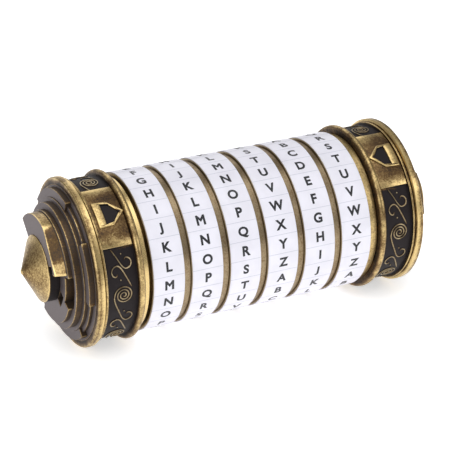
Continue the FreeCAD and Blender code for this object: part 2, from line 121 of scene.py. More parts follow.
# ---- how far edges are rounded ------------------------------------------------------------------
PANEL_ROUND = 0.13 * MM
POINTER_ROUND = 0.24 * MM
COVER_ROUND = 0.15 * MM

# ---- brass and steel that differ from the finish settings ---------------------------------------
RING_BRIGHT = (0.32, 0.25, 0.155)
# The rings' rubbing is partly their worn patina, partly painted light against the shade in the narrow gaps
# beside the letter bands.
RING_RUB_AND_LIGHT, RING_PATCHES = 0.62, 0.35
SCROLL_BRIGHT = (0.38, 0.31, 0.19)
TURNED_BRASS = (0.56, 0.40, 0.17)
PLAIN_STEEL = (0.50, 0.50, 0.50)


# ================================================================================================
# Settings
# ================================================================================================
class DialSettings(bpy.types.PropertyGroup):
    """Sizes and colours of the printed letter bands"""
    code: StringProperty(name="Code word", description="Letters on the index line", default="ILOVEU")
    row_angle: FloatProperty(name="Index line", description="Angle of the index line, in degrees",
                             default=38.2)
    letter_height: FloatProperty(name="Letter height", description="Height of a capital letter",
                                 default=3.0 * MM, unit="LENGTH")
    letter_width: FloatProperty(name="Letter width", description="Share of a letter's drawn width",
                                default=0.98)
    letter_weight: FloatProperty(name="Letter weight", description="How much the strokes are thickened",
                                 default=0.040)
    ink_thickness: FloatProperty(name="Ink thickness", description="How far the print stands off the band",
                                 default=0.03 * MM, unit="LENGTH")
    line_width: FloatProperty(name="Line width", description="Width of the line between two letters",
                              default=0.14 * MM, unit="LENGTH")
    band_colour: FloatVectorProperty(name="Band colour", description="Colour of the printed band", size=3,
                                     subtype="COLOR", default=(0.80, 0.79, 0.87))
    ink_colour: FloatVectorProperty(name="Ink colour", description="Colour of the letters", size=3,
                                    subtype="COLOR", default=(0.012, 0.012, 0.016))
    line_colour: FloatVectorProperty(name="Line colour", description="Colour of the lines between letters",
                                     size=3, subtype="COLOR", default=(0.56, 0.57, 0.66))


class CapSettings(bpy.types.PropertyGroup):
    """Sizes of the ornament on the two caps"""
    left_index: FloatProperty(name="Left pointer", description="Angle of the left cap's first pointer",
                              default=34.5)
    right_index: FloatProperty(name="Right pointer", description="Angle of the right cap's first pointer",
                               default=31.5)
    panel_angle: FloatProperty(name="Panel angle", description="How far a panel reaches round, in degrees",
                               default=48.0)
    panel_height: FloatProperty(name="Panel height", description="How far a panel stands off the band",
                                default=0.6 * MM, unit="LENGTH")
    pointer_height: FloatProperty(name="Pointer height", description="How far a pointer stands off a panel",
                                  default=0.55 * MM, unit="LENGTH")
    scroll_count: IntProperty(name="Scrolls", description="Scrolls between two panels", default=3)
    wire_radius: FloatProperty(name="Wire radius", description="Half the width of a scroll's line",
                               default=0.23 * MM, unit="LENGTH")


class FinishSettings(bpy.types.PropertyGroup):
    """Colours of the aged brass, and the painted shade of the end covers' faces"""
    bright: FloatVectorProperty(name="Bright brass", description="Where the patina is rubbed off", size=3,
                                subtype="COLOR", default=(0.70, 0.52, 0.235))
    brown: FloatVectorProperty(name="Brown patina", description="Where the patina is thin", size=3,
                               subtype="COLOR", default=(0.150, 0.090, 0.040))
    dark: FloatVectorProperty(name="Dark patina", description="In the hollows", size=3,
                              subtype="COLOR", default=(0.024, 0.020, 0.021))
    shade: FloatVectorProperty(name="Shaded patina", description="On the walls of the end covers", size=3,
                               subtype="COLOR", default=(0.072, 0.053, 0.040))
    # Painted shade: the grey given to the end covers' faces square to the axis, by their direction.
    painted_face_shade: FloatVectorProperty(name="Painted face shade", description="On the flat faces of the end covers", size=3,
                              subtype="COLOR", default=(0.145, 0.122, 0.125))


class StageSettings(bpy.types.PropertyGroup):
    """Camera and lights"""
    azimuth: FloatProperty(name="Azimuth", description="Camera's direction round the object, in degrees",
                           default=-25.36)
    elevation: FloatProperty(name="Elevation", description="Camera's height above the horizon, in degrees",
                             default=25.5)
    distance: FloatProperty(name="Distance", description="From the camera to the middle of the cylinder",
                            default=0.5692, unit="LENGTH")
    lens: FloatProperty(name="Lens", description="Focal length in mm", default=153.04)
    aside: FloatProperty(name="Aside", description="How far the camera stands to the left of its aim",
                         default=1.487 * MM, unit="LENGTH")
    above: FloatProperty(name="Above", description="How far the camera stands above its aim",
                         default=1.253 * MM, unit="LENGTH")
    room_light: FloatProperty(name="Room light", description="Strength of the light from all round",
                              default=0.30)
    soft_light: FloatProperty(name="Soft light", description="Strength of the lamps", default=0.40)


# ================================================================================================
# Modelling helpers
# ================================================================================================
def about_axis(degrees):
    """Turns about the cylinder's axis, from the top towards the front."""
    return Matrix.Rotation(math.radians(degrees), 4, "X")


def angle_of(point):
    """The angle of a point about the axis, from the top towards the front, from 0 to 360."""
    return math.degrees(math.atan2(-point.y, point.z)) % 360.0


def radius_of(point):
    return math.hypot(point.y, point.z)


def softened(outline, reach, margin, closed=True, least=20.0):
    """The (x, radius) outline with each corner rounded off, and a supporting point beside each."""
    count = len(outline)
    points = [Vector(point) for point in outline]
    result = []
    for index, corner in enumerate(points):
        if not closed and index in (0, count - 1):
            result.append(corner)
            continue
        before, after = points[index - 1] - corner, points[(index + 1) % count] - corner
        if abs(180.0 - math.degrees(before.angle(after))) < least:
            result.append(corner)
            continue
        sides = []
        for side in (before, after):
            cut = min(reach, 0.4 * side.length)
            along = side.normalized()
            support = [corner + along * (cut + margin)] if side.length > 2.4 * (cut + margin) else []
            sides.append((corner + along * cut, support))
        (start, first), (end, last) = sides
        turn = [start.lerp(corner, t).lerp(corner.lerp(end, t), t) for t in (0.0, 0.35, 0.65, 1.0)]
        result += first + turn + last
    return [tuple(point) for point in result]


def half_round(first, top, last, count):
    """Points of the arc through three (x, radius) points."""
    (ax, ay), (bx, by), (cx, cy) = first, top, last
    a, b, c = ax * ax + ay * ay, bx * bx + by * by, cx * cx + cy * cy
    d = 2 * (ax * (by - cy) + bx * (cy - ay) + cx * (ay - by))
    ux = (a * (by - cy) + b * (cy - ay) + c * (ay - by)) / d
    uy = (a * (cx - bx) + b * (ax - cx) + c * (bx - ax)) / d
    radius = math.hypot(ax - ux, ay - uy)
    start, middle, end = (math.atan2(y - uy, x - ux) for x, y in (first, top, last))
    sweep = (end - start) % math.tau
    if (middle - start) % math.tau > sweep:
        sweep -= math.tau
    return [(ux + radius * math.cos(start + sweep * i / (count - 1)),
             uy + radius * math.sin(start + sweep * i / (count - 1))) for i in range(count)]


def lathe(outline, closed=True, steps=TURN_STEPS):
    """A mesh turned about the axis from (x, radius) points."""
    mesh = bmesh.new()
    verts = [mesh.verts.new((x, 0, radius)) for x, radius in outline]
    ends = verts[1:] + (verts[:1] if closed else [])
    edges = [mesh.edges.new(pair) for pair in zip(verts, ends)]
    bmesh.ops.spin(mesh, geom=verts + edges, cent=MIDDLE, axis=AXIS, angle=math.tau, steps=steps,
                   use_merge=True)
    bmesh.ops.remove_doubles(mesh, verts=mesh.verts, dist=WELD)
    bmesh.ops.dissolve_degenerate(mesh, edges=mesh.edges, dist=WELD)
    bmesh.ops.recalc_face_normals(mesh, faces=mesh.faces)
    return mesh


def to_hand(mesh, hand):
    """A right-hand mesh made into a left-hand one where hand is -1."""
    if hand < 0:
        bmesh.ops.scale(mesh, vec=(-1, 1, 1), verts=mesh.verts)
        bmesh.ops.reverse_faces(mesh, faces=mesh.faces)
    return mesh


def sharp_edges(mesh, least=60.0):
    limit = math.radians(least)
    return [edge for edge in mesh.edges if edge.is_manifold and edge.calc_face_angle() > limit]


def round_edges(mesh, edges, reach, segments=2):
    """Rounds off the edges."""
    bmesh.ops.bevel(mesh, geom=edges, offset=reach, offset_type="OFFSET", affect="EDGES", segments=segments,
                    profile=0.5, clamp_overlap=True, material=-1)


def verts_of(items):
    return [item for item in items if isinstance(item, bmesh.types.BMVert)]


def faces_of(items):
    return [item for item in items if isinstance(item, bmesh.types.BMFace)]


def add_mesh(mesh, other):
    """Puts a second bmesh into the first, and frees it."""
    copy = bpy.data.meshes.new("copy")
    other.to_mesh(copy)
    other.free()
    mesh.from_mesh(copy)
    bpy.data.meshes.remove(copy)


def mark_wear(mesh):
    """Marks outward edges above 0, where patina is rubbed off, and inward corners below 0."""
    wear = mesh.verts.layers.float.new("wear")
    full = math.radians(26.0)
    slack = math.radians(4.0)
    for vert in mesh.verts:
        bends = [edge.calc_face_angle_signed(0.0) for edge in vert.link_edges]
        if not bends:
            continue
        outward, inward = max(bends), min(bends)
        bend = outward if outward > -inward else inward
        size = max(0.0, abs(bend) - slack) / full
        vert[wear] = math.copysign(min(1.0, size), bend)


def mark_rub_and_light(mesh, rule):
    """Marks how bright each point is, from rubbing and on some pieces from painted light, and below 0 how
    dark, from patina and on some pieces from painted shade, by a rule of its place.
    """
    rub_and_light = mesh.verts.layers.float.new("rub_and_light")
    for vert in mesh.verts:
        vert[rub_and_light] = rule(vert.co)


def eased(value, low, high):
    """A smooth step of the value from 0 at low to 1 at high."""
    share = min(1.0, max(0.0, (value - low) / (high - low)))
    return share * share * (3 - 2 * share)


def body_of(hand):
    """The body that carries the cap at an end: the drawer at the right, the threaded nut at the left."""
    return "drawer" if hand > 0 else "left_nut"


def finish_piece(mesh, name, body, materials, replaced=(), wear=True):
    """Makes the object of a finished bmesh and fits it to the frame."""
    if wear:
        mark_wear(mesh)
    for face in mesh.faces:
        face.smooth = True
    for edge in mesh.edges:
        edge.smooth = edge.calc_face_angle(0.0) < SHARP
    data = bpy.data.meshes.new(name)
    mesh.to_mesh(data)
    mesh.free()
    for material in materials:
        data.materials.append(material)
    piece = bpy.data.objects.new(name, data)
    bpy.context.scene.collection.objects.link(piece)
    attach(piece, body)
    if replaced:
        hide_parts(*replaced)
    return piece


# ================================================================================================
# Shader groups and materials
# ================================================================================================
def put(tree, kind, **values):
    """Adds a node, and sets its properties."""
    node = tree.nodes.new(kind)
    for name, value in values.items():
        setattr(node, name, value)
    return node


def plug(tree, source, target):
    """Links a socket, or sets a plain number on the target."""
    if isinstance(source, bpy.types.NodeSocket):
        tree.links.new(source, target)
    else:
        target.default_value = source
    return target


def reckon(tree, operation, first, second=0.0, third=None):
    """The output of a Math node."""
    node = put(tree, "ShaderNodeMath", operation=operation)
    plug(tree, first, node.inputs[0])
    plug(tree, second, node.inputs[1])
    if third is not None:
        plug(tree, third, node.inputs[2])
    return node.outputs[0]


def ramp(tree, value, low, high, out_low=0.0, out_high=1.0):
    """A smooth step of the value from low to high."""
    node = put(tree, "ShaderNodeMapRange", interpolation_type="SMOOTHSTEP")
    for source, target in zip((value, low, high, out_low, out_high), node.inputs):
        plug(tree, source, target)
    return node.outputs[0]


def blended(tree, share, first, second):
    """A mix of two colours."""
    node = put(tree, "ShaderNodeMix", data_type="RGBA")
    plug(tree, share, node.inputs[0])
    plug(tree, first, node.inputs[6])
    plug(tree, second, node.inputs[7])
    return node.outputs[2]


def speckle(tree, scale, detail=2.0, roughness=0.5):
    """Noise in the piece's own frame, from 0 to 1."""
    node = put(tree, "ShaderNodeTexNoise")
    place = put(tree, "ShaderNodeTexCoord")
    tree.links.new(place.outputs["Object"], node.inputs["Vector"])
    plug(tree, scale, node.inputs["Scale"])
    node.inputs["Detail"].default_value = detail
    node.inputs["Roughness"].default_value = roughness
    return node.outputs[0]


def new_group(name, inputs, outputs):
    """An empty shader group with named sockets: (name, kind, default) and (name, kind)."""
    group = bpy.data.node_groups.new(name, "ShaderNodeTree")
    for label, kind, default in inputs:
        socket = group.interface.new_socket(label, in_out="INPUT", socket_type=kind)
        socket.default_value = default
    for label, kind in outputs:
        group.interface.new_socket(label, in_out="OUTPUT", socket_type=kind)
    return group, put(group, "NodeGroupInput"), put(group, "NodeGroupOutput")


NUMBER, COLOUR = "NodeSocketFloat", "NodeSocketColor"


PATCH_SCALE, MOTTLE_SCALE, GRAIN_SCALE = 210.0, 1800.0, 5200.0    # of the patina's three noises


def patina_group():
    """Brass under a patina that is rubbed off where wear and the rubbing mark are high; that mark also
    carries painted light and shade.
    """
    if "Patina" in bpy.data.node_groups:
        return bpy.data.node_groups["Patina"]
    inputs = [("Wear", NUMBER, 0.0), ("Rub", NUMBER, 0.0), ("Patches", NUMBER, 0.5)]
    inputs += [(label, COLOUR, (0, 0, 0, 1)) for label in ("Dark", "Brown", "Bright")]
    outputs = [("Color", COLOUR), ("Roughness", NUMBER), ("Metallic", NUMBER), ("Height", NUMBER)]
    group, given, result = new_group("Patina", inputs, outputs)
    patches = speckle(group, PATCH_SCALE, 4.0, 0.6)
    mottle = speckle(group, MOTTLE_SCALE, 3.0, 0.6)
    grain = speckle(group, GRAIN_SCALE, 2.0, 0.5)
    cloud = reckon(group, "MULTIPLY", reckon(group, "SUBTRACT", patches, 0.5), given.outputs["Patches"])
    small = reckon(group, "MULTIPLY_ADD", mottle, 0.60, -0.30)
    fine = reckon(group, "MULTIPLY_ADD", grain, 0.50, -0.25)
    worn = reckon(group, "MULTIPLY_ADD", given.outputs["Wear"], 0.50, given.outputs["Rub"])
    level = reckon(group, "ADD", reckon(group, "ADD", worn, cloud), reckon(group, "ADD", small, fine))
    brown = ramp(group, level, 0.0, 0.38)
    bright = ramp(group, level, 0.30, 0.80)
    under = blended(group, brown, given.outputs["Dark"], given.outputs["Brown"])
    plug(group, blended(group, bright, under, given.outputs["Bright"]), result.inputs["Color"])
    rough = ramp(group, level, 0.0, 0.9, 0.54, 0.28)
    plug(group, reckon(group, "MULTIPLY_ADD", grain, 0.10, reckon(group, "SUBTRACT", rough, 0.05)),
         result.inputs["Roughness"])
    plug(group, ramp(group, level, -0.2, 0.35, 0.72, 1.0), result.inputs["Metallic"])
    plug(group, reckon(group, "MULTIPLY_ADD", mottle, 0.6, reckon(group, "MULTIPLY", grain, 0.4)),
         result.inputs["Height"])
    return group


def height_group():
    """How far a point stands off the axis, from 0 at Low to 1 at High."""
    if "Off Axis" in bpy.data.node_groups:
        return bpy.data.node_groups["Off Axis"]
    inputs = [("Low", NUMBER, 0.0), ("High", NUMBER, 1.0)]
    group, given, result = new_group("Off Axis", inputs, [("Share", NUMBER)])
    place = put(group, "ShaderNodeTexCoord")
    parts = put(group, "ShaderNodeSeparateXYZ")
    group.links.new(place.outputs["Object"], parts.inputs[0])
    squares = [reckon(group, "MULTIPLY", parts.outputs[axis], parts.outputs[axis]) for axis in (1, 2)]
    radius = reckon(group, "SQRT", reckon(group, "ADD", squares[0], squares[1]))
    plug(group, ramp(group, radius, given.outputs["Low"], given.outputs["High"]), result.inputs["Share"])
    return group


def facing_group():
    """1 on faces square to the axis, 0 on faces along it; it places the painted shade on the end covers'
    faces.
    """
    if "Facing" in bpy.data.node_groups:
        return bpy.data.node_groups["Facing"]
    group, given, result = new_group("Facing", [], [("Share", NUMBER)])
    place = put(group, "ShaderNodeTexCoord")
    parts = put(group, "ShaderNodeSeparateXYZ")
    group.links.new(place.outputs["Normal"], parts.inputs[0])
    along = reckon(group, "ABSOLUTE", parts.outputs[0])
    plug(group, ramp(group, along, 0.85, 0.98), result.inputs["Share"])
    return group


def new_material(name, metallic=None, roughness=None, colour=None):
    """A material with a Principled shader and its tree."""
    material = bpy.data.materials.new(name)
    material.use_nodes = True
    tree = material.node_tree
    shader = tree.nodes["Principled BSDF"]
    if metallic is not None:
        shader.inputs["Metallic"].default_value = metallic
    if roughness is not None:
        shader.inputs["Roughness"].default_value = roughness
    if colour is not None:
        shader.inputs["Base Color"].default_value = (*colour, 1)
        material.diffuse_color = (*colour, 1)
    return material, tree, shader


def bump(tree, shader, height, strength, distance):
    node = put(tree, "ShaderNodeBump")
    node.inputs["Strength"].default_value = strength
    node.inputs["Distance"].default_value = distance
    plug(tree, height, node.inputs["Height"])
    tree.links.new(node.outputs[0], shader.inputs["Normal"])


def use_group(tree, group, **values):
    node = put(tree, "ShaderNodeGroup", node_tree=group)
    for name, value in values.items():
        plug(tree, value, node.inputs[name])
    return node


def aged_brass(name, rub_and_light=0.0, crest=None, crest_rub=0.6, patches=0.5, wear=True, paint_face_shade=False,
               marked=False, wear_gain=1.0, bright=None):
    """Aged brass: its general rubbing, partly painted light on some pieces, and crest (low, high) radii
    between which it grows.

    With marked, the piece's own marks of rubbing, painted light and painted shade count too. With the faces
    shaded, faces square to the axis get painted shade.
    """
    if name in bpy.data.materials:
        return bpy.data.materials[name]
    looks = bpy.context.scene.lock_finish
    material, tree, shader = new_material(name, colour=tuple(looks.brown))
    amount = rub_and_light
    if crest:
        off = use_group(tree, height_group(), Low=crest[0], High=crest[1])
        amount = reckon(tree, "MULTIPLY_ADD", off.outputs[0], crest_rub, rub_and_light)
    worn = 0.0
    if wear:
        worn = put(tree, "ShaderNodeAttribute", attribute_name="wear").outputs["Fac"]
        if wear_gain != 1.0:
            worn = reckon(tree, "MULTIPLY", worn, wear_gain)
    if marked:
        rubbed = put(tree, "ShaderNodeAttribute", attribute_name="rub_and_light").outputs["Fac"]
        amount = reckon(tree, "ADD", amount, rubbed)
    # With the faces shaded, the walls take the shade colour in place of the dark of the hollows, and the
    # faces square to the axis get painted shade: grey, and rubbed 0.42 less.
    dark_colour = (*(looks.shade if paint_face_shade else looks.dark), 1)
    brown_colour = (*looks.brown, 1)
    bright_colour = (*(bright or looks.bright), 1)
    if paint_face_shade:
        facing = use_group(tree, facing_group())
        amount = reckon(tree, "MULTIPLY_ADD", facing.outputs[0], -0.42, amount)
        dark_colour = blended(tree, facing.outputs[0], dark_colour, (*looks.painted_face_shade, 1))
        shaded_face_brown = tuple(0.75 * g + 0.25 * b for g, b in zip(looks.painted_face_shade, looks.brown))
        brown_colour = blended(tree, facing.outputs[0], brown_colour, (*shaded_face_brown, 1))
    patina = use_group(tree, patina_group(), Wear=worn, Rub=amount, Patches=patches, Bright=bright_colour)
    plug(tree, dark_colour, patina.inputs["Dark"])
    plug(tree, brown_colour, patina.inputs["Brown"])
    tree.links.new(patina.outputs["Color"], shader.inputs["Base Color"])
    tree.links.new(patina.outputs["Roughness"], shader.inputs["Roughness"])
    tree.links.new(patina.outputs["Metallic"], shader.inputs["Metallic"])
    shader.inputs["Specular IOR Level"].default_value = 0.2
    bump(tree, shader, patina.outputs["Height"], 0.35, 0.05 * MM)
    return material


def printed_film(name, colour, roughness=0.34):
    """Satin printed film with a faint unevenness."""
    if name in bpy.data.materials:
        return bpy.data.materials[name]
    material, tree, shader = new_material(name, metallic=0.0, colour=colour)
    cloud = speckle(tree, 160.0, 3.0)
    fine = speckle(tree, 2600.0, 2.0)
    shade = tuple(0.93 * c for c in colour)
    share = ramp(tree, cloud, 0.35, 0.7)
    plug(tree, blended(tree, share, (*shade, 1), (*colour, 1)), shader.inputs["Base Color"])
    plug(tree, reckon(tree, "MULTIPLY_ADD", cloud, 0.12, roughness - 0.06), shader.inputs["Roughness"])
    bump(tree, shader, fine, 0.12, 0.02 * MM)
    return material


def turned_metal(name, colour, roughness=0.3):
    """Plain turned metal: fine rings round the axis, a little stained."""
    if name in bpy.data.materials:
        return bpy.data.materials[name]
    material, tree, shader = new_material(name, metallic=1.0, colour=colour)
    place = put(tree, "ShaderNodeTexCoord")
    stretch = put(tree, "ShaderNodeMapping")
    stretch.inputs["Scale"].default_value = (5200.0, 60.0, 60.0)
    tree.links.new(place.outputs["Object"], stretch.inputs["Vector"])
    rings = put(tree, "ShaderNodeTexNoise")
    rings.inputs["Scale"].default_value = 1.0
    tree.links.new(stretch.outputs[0], rings.inputs["Vector"])
    stain = speckle(tree, 240.0, 4.0, 0.6)
    shade = tuple(0.62 * c for c in colour)
    share = ramp(tree, stain, 0.35, 0.65)
    plug(tree, blended(tree, share, (*shade, 1), (*colour, 1)), shader.inputs["Base Color"])
    plug(tree, reckon(tree, "MULTIPLY_ADD", stain, 0.2, roughness - 0.1), shader.inputs["Roughness"])
    bump(tree, shader, rings.outputs[0], 0.2, 0.02 * MM)
    return material


# ================================================================================================
# Dials
# ================================================================================================
FIRST_LETTER = ord("A")
LETTER_COUNT = 26
CELL_ANGLE = 360.0 / LETTER_COUNT
LETTER_SLICE = 0.35 * MM       # height of the strips that a letter is cut in before it is bent
PRINT_SKEW = (-0.66, -0.36, -0.43, 0.15, 0.60, 0.69)   # how far each dial is off the index line, in degrees


def dial_span(number):
    low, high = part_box("label_%d" % number)
    return low.x, high.x


def build_label(number):
    """The white band of one dial."""
    left, right = dial_span(number)
    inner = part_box("letter_ring_%d" % number)[1].z
    outline = [(left, inner), (left, LABEL_RADIUS), (right, LABEL_RADIUS), (right, inner)]
    looks = bpy.context.scene.lock_dials
    band = printed_film("letter_band_film", tuple(looks.band_colour))
    mesh = lathe(softened(outline, 0.10 * MM, 0.15 * MM), steps=2 * TURN_STEPS)
    return finish_piece(mesh, "letter_band_%d" % number, "dial_%d" % number, [band],
                        ["label_%d" % number], wear=False)


def glyph(character, weight):
    """A thin solid of one capital, its strokes thickened by the weight, its middle at 0 across."""
    curve = bpy.data.curves.new("glyph", "FONT")
    curve.body = character
    curve.align_x = "CENTER"
    curve.extrude = 0.002
    curve.bevel_depth = weight
    curve.bevel_resolution = 0
    curve.resolution_u = 4
    carrier = bpy.data.objects.new("glyph", curve)
    bpy.context.scene.collection.objects.link(carrier)
    graph = bpy.context.evaluated_depsgraph_get()
    data = bpy.data.meshes.new_from_object(carrier.evaluated_get(graph))
    bpy.data.objects.remove(carrier)
    bpy.data.curves.remove(curve)
    return data


def span_of(verts, axis):
    places = [vert.co[axis] for vert in verts]
    return min(places), max(places)


def sliced(data, foot, cap, height, stretch, thickness):
    """The glyph at its real size, foot at 0, cut into strips so that it can be bent.

    foot and cap are where a plain capital starts and ends; a glyph that hangs below is drawn in.
    """
    mesh = bmesh.new()
    mesh.from_mesh(data)
    size = height / (cap - foot)
    low, high = span_of(mesh.verts, 1)
    hang = 0.5 * max(0.0, foot - low - 0.03)
    squeeze = (high - foot + hang) / (high - low)
    deep = span_of(mesh.verts, 2)
    bmesh.ops.translate(mesh, vec=(0, -low, -deep[0]), verts=mesh.verts)
    scale = (size * stretch, size * squeeze, thickness / (deep[1] - deep[0]))
    shift = (0, min(0.0, low - foot + 2 * hang) * size - hang * size, 0)
    bmesh.ops.scale(mesh, vec=scale, verts=mesh.verts)
    bmesh.ops.translate(mesh, vec=shift, verts=mesh.verts)
    bmesh.ops.remove_doubles(mesh, verts=mesh.verts, dist=WELD)
    low, high = span_of(mesh.verts, 1)
    for index in range(1, math.ceil((high - low) / LETTER_SLICE)):
        bmesh.ops.bisect_plane(mesh, geom=mesh.verts[:] + mesh.edges[:] + mesh.faces[:], dist=WELD,
                               plane_co=(0, low + index * LETTER_SLICE, 0), plane_no=(0, 1, 0))
    return mesh


def build_letters(number, glyphs, capital):
    """The printed letters and cell lines of one dial."""
    looks = bpy.context.scene.lock_dials
    left, right = dial_span(number)
    centre = (left + right) / 2
    row = looks.row_angle + PRINT_SKEW[(number - 1) % len(PRINT_SKEW)]
    first = ord(looks.code[(number - 1) % len(looks.code)]) - FIRST_LETTER
    mesh = bmesh.new()
    for place in range(LETTER_COUNT):
        character = chr(FIRST_LETTER + (first + place) % LETTER_COUNT)
        count = len(mesh.verts)
        mesh.from_mesh(glyphs[character])
        mesh.verts.ensure_lookup_table()
        for vert in mesh.verts[count:]:
            height = vert.co.y - capital / 2
            turn = math.radians(row + place * CELL_ANGLE) - height / LABEL_RADIUS
            reach = LABEL_RADIUS + vert.co.z - 0.2 * looks.ink_thickness
            vert.co = Vector((centre + vert.co.x, -reach * math.sin(turn), reach * math.cos(turn)))
    bmesh.ops.recalc_face_normals(mesh, faces=mesh.faces)
    for place in range(LETTER_COUNT):
        line = bmesh.ops.create_cube(mesh, size=1.0)["verts"]
        bmesh.ops.scale(mesh, vec=(right - left, looks.line_width, looks.ink_thickness), verts=line)
        bmesh.ops.translate(mesh, vec=(centre, 0, LABEL_RADIUS + looks.ink_thickness * 0.2), verts=line)
        turn = about_axis(row + (place + 0.5) * CELL_ANGLE)
        bmesh.ops.transform(mesh, matrix=turn, verts=line)
        for face in {face for vert in line for face in vert.link_faces}:
            face.material_index = 1
    ink = printed_film("printing_ink", tuple(looks.ink_colour), 0.42)
    line_ink = printed_film("cell_line_ink", tuple(looks.line_colour), 0.42)
    return finish_piece(mesh, "letters_%d" % number, "dial_%d" % number, [ink, line_ink], wear=False)


def ring_brass():
    """The dull brass of the rings under and between the letter bands, brightened with painted light against
    the shade of the gaps.
    """
    return aged_brass("dial_brass", rub_and_light=RING_RUB_AND_LIGHT, patches=RING_PATCHES, wear_gain=0.5,
                      bright=RING_BRIGHT)


def build_rim_ring(number):
    """The metal ring under one letter band, with its edges broken."""
    low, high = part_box("letter_ring_%d" % number)
    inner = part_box("code_ring_1")[1].z
    outline = [(low.x, inner), (low.x, high.z), (high.x, high.z), (high.x, inner)]
    mesh = lathe(softened(outline, 0.16 * MM, 0.25 * MM))
    return finish_piece(mesh, "dial_rim_%d" % number, "dial_%d" % number, [ring_brass()],
                        ["letter_ring_%d" % number])


# ================================================================================================
# Caps
# ================================================================================================
def cap_outline(hand):
    """The closed outline of a cap: bead, sunk band, rim, seat of the cover, and the web inside."""
    flank = CAP_CREST - BEAD_DROP
    bead = half_round((CAP_FACE, flank), (CAP_FACE + BEAD_WIDTH / 2, CAP_CREST), (BEAD_END, flank), 17)
    top = half_round((LAND_END, CAP_CREST), (END_FACE - RIM_ROUND * 0.3, CAP_CREST - RIM_ROUND * 0.3),
                     (END_FACE, CAP_CREST - RIM_ROUND), 7)
    edge = 0.18 * MM
    band = [(BEAD_END, BAND_RADIUS), (BEAD_END + edge, BAND_RADIUS), (BAND_END - edge, BAND_RADIUS),
            (BAND_END, BAND_RADIUS)]
    ridge_end = BAND_END + RIDGE_WIDTH
    ridge = [(BAND_END, BAND_RADIUS + RIDGE_HEIGHT), (ridge_end, BAND_RADIUS + RIDGE_HEIGHT)]
    groove = BAND_RADIUS + GROOVE_HEIGHT
    rim = [(ridge_end + 0.5 * edge, groove), (ridge_end + 1.8 * edge, groove),
           (ridge_end + 2.4 * edge, CAP_CREST - 1.4 * edge), (ridge_end + 3.6 * edge, CAP_CREST)]
    web_end = CAP_FACE + CAP_WEB
    bore = BAND_RADIUS - CAP_WALL
    seat = [(END_FACE, COVER_RADIUS), (END_FACE - COVER_SEAT, COVER_RADIUS), (END_FACE - COVER_SEAT, bore),
            (web_end, bore)]
    outer = bead + band + ridge + rim + top + seat
    if hand > 0:
        return [(CAP_FACE + 0.02 * MM, WEB_BORE)] + outer + [(web_end, WEB_BORE)]
    flange = [(LEFT_FACE, HUB_BORE), (LEFT_FACE, COLLAR_RADIUS - edge), (LEFT_FACE + edge, COLLAR_RADIUS),
              (CAP_FACE, COLLAR_RADIUS)]
    sleeve = [(web_end, SLEEVE_RADIUS), (CAP_FACE + SLEEVE_LENGTH, SLEEVE_RADIUS),
              (CAP_FACE + SLEEVE_LENGTH, THREAD_BORE), (CAP_FACE, THREAD_BORE), (CAP_FACE, HUB_BORE)]
    return flange + outer + sleeve


def raise_panels(mesh, extent, height):
    """Raises the two panels out of the sunk band, one at the top and one at the bottom."""
    half = extent / 2
    for centre in (0.0, 180.0):
        chosen = []
        for face in mesh.faces:
            middle = face.calc_center_median()
            off = (angle_of(middle) - centre + 180.0) % 360.0 - 180.0
            inside = BEAD_END + 0.2 * MM < middle.x < BAND_END - 0.2 * MM
            if inside and abs(radius_of(middle) - BAND_RADIUS) < NEAR and abs(off) < half:
                chosen.append(face)
        grown = bmesh.ops.extrude_face_region(mesh, geom=chosen)["geom"]
        bmesh.ops.delete(mesh, geom=chosen, context="FACES_ONLY")
        factor = (BAND_RADIUS + height) / BAND_RADIUS
        bmesh.ops.scale(mesh, vec=(1, factor, factor), verts=verts_of(grown))
        bmesh.ops.recalc_face_normals(mesh, faces=mesh.faces)
        faces = set(faces_of(grown))
        border = [edge for face in faces for edge in face.edges if len(set(edge.link_faces) & faces) == 1]
        round_edges(mesh, list(set(border)), PANEL_ROUND)


POINTER_LENGTH = 8.6 * MM
POINTER_HALF_WIDTH = 4.1 * MM
POINTER_SHOULDER = 4.4 * MM
POINTER_BAR = 2.4 * MM
POINTER_FRAME = 0.95 * MM
POINTER_SET_BACK = 0.8 * MM    # of its base from the rim
POINTER_SUNK = 0.2 * MM        # how far its foot goes into the panel
WELL_SUNK = 0.1 * MM           # the same, of the dark film inside it
WELL_FILM = 0.12 * MM          # and how thick that is


def pointer_outlines(hand):
    """Outer and inner outline of the house-shaped pointer, as (x, across) points on the right cap."""
    base = BAND_END - POINTER_SET_BACK
    tip, shoulder, half = base - POINTER_LENGTH, base - POINTER_SHOULDER, POINTER_HALF_WIDTH
    inner = half - POINTER_FRAME
    outer_loop = [(base, -half), (base, half), (shoulder, 0.93 * half), (tip, 0), (shoulder, -0.93 * half)]
    bar, turn = base - POINTER_BAR, shoulder - 0.3 * POINTER_FRAME
    inner_loop = [(bar, -inner), (bar, inner), (turn, 0.9 * inner), (tip + 1.6 * POINTER_FRAME, 0),
                  (turn, -0.9 * inner)]
    return outer_loop, inner_loop


def wrap(mesh, radius):
    """Bends a flat mesh, with its height along Z, round the axis at a radius."""
    for vert in mesh.verts:
        turn = vert.co.y / radius
        reach = radius + vert.co.z
        vert.co = Vector((vert.co.x, reach * math.sin(turn), reach * math.cos(turn)))


def cut_in_strips(mesh, width, reach):
    """Cuts a mesh along X at even distances across, before it is bent."""
    for index in range(-int(reach / width), int(reach / width) + 1):
        bmesh.ops.bisect_plane(mesh, geom=mesh.verts[:] + mesh.edges[:] + mesh.faces[:], dist=WELD,
                               plane_co=(0, index * width, 0), plane_no=(0, 1, 0))


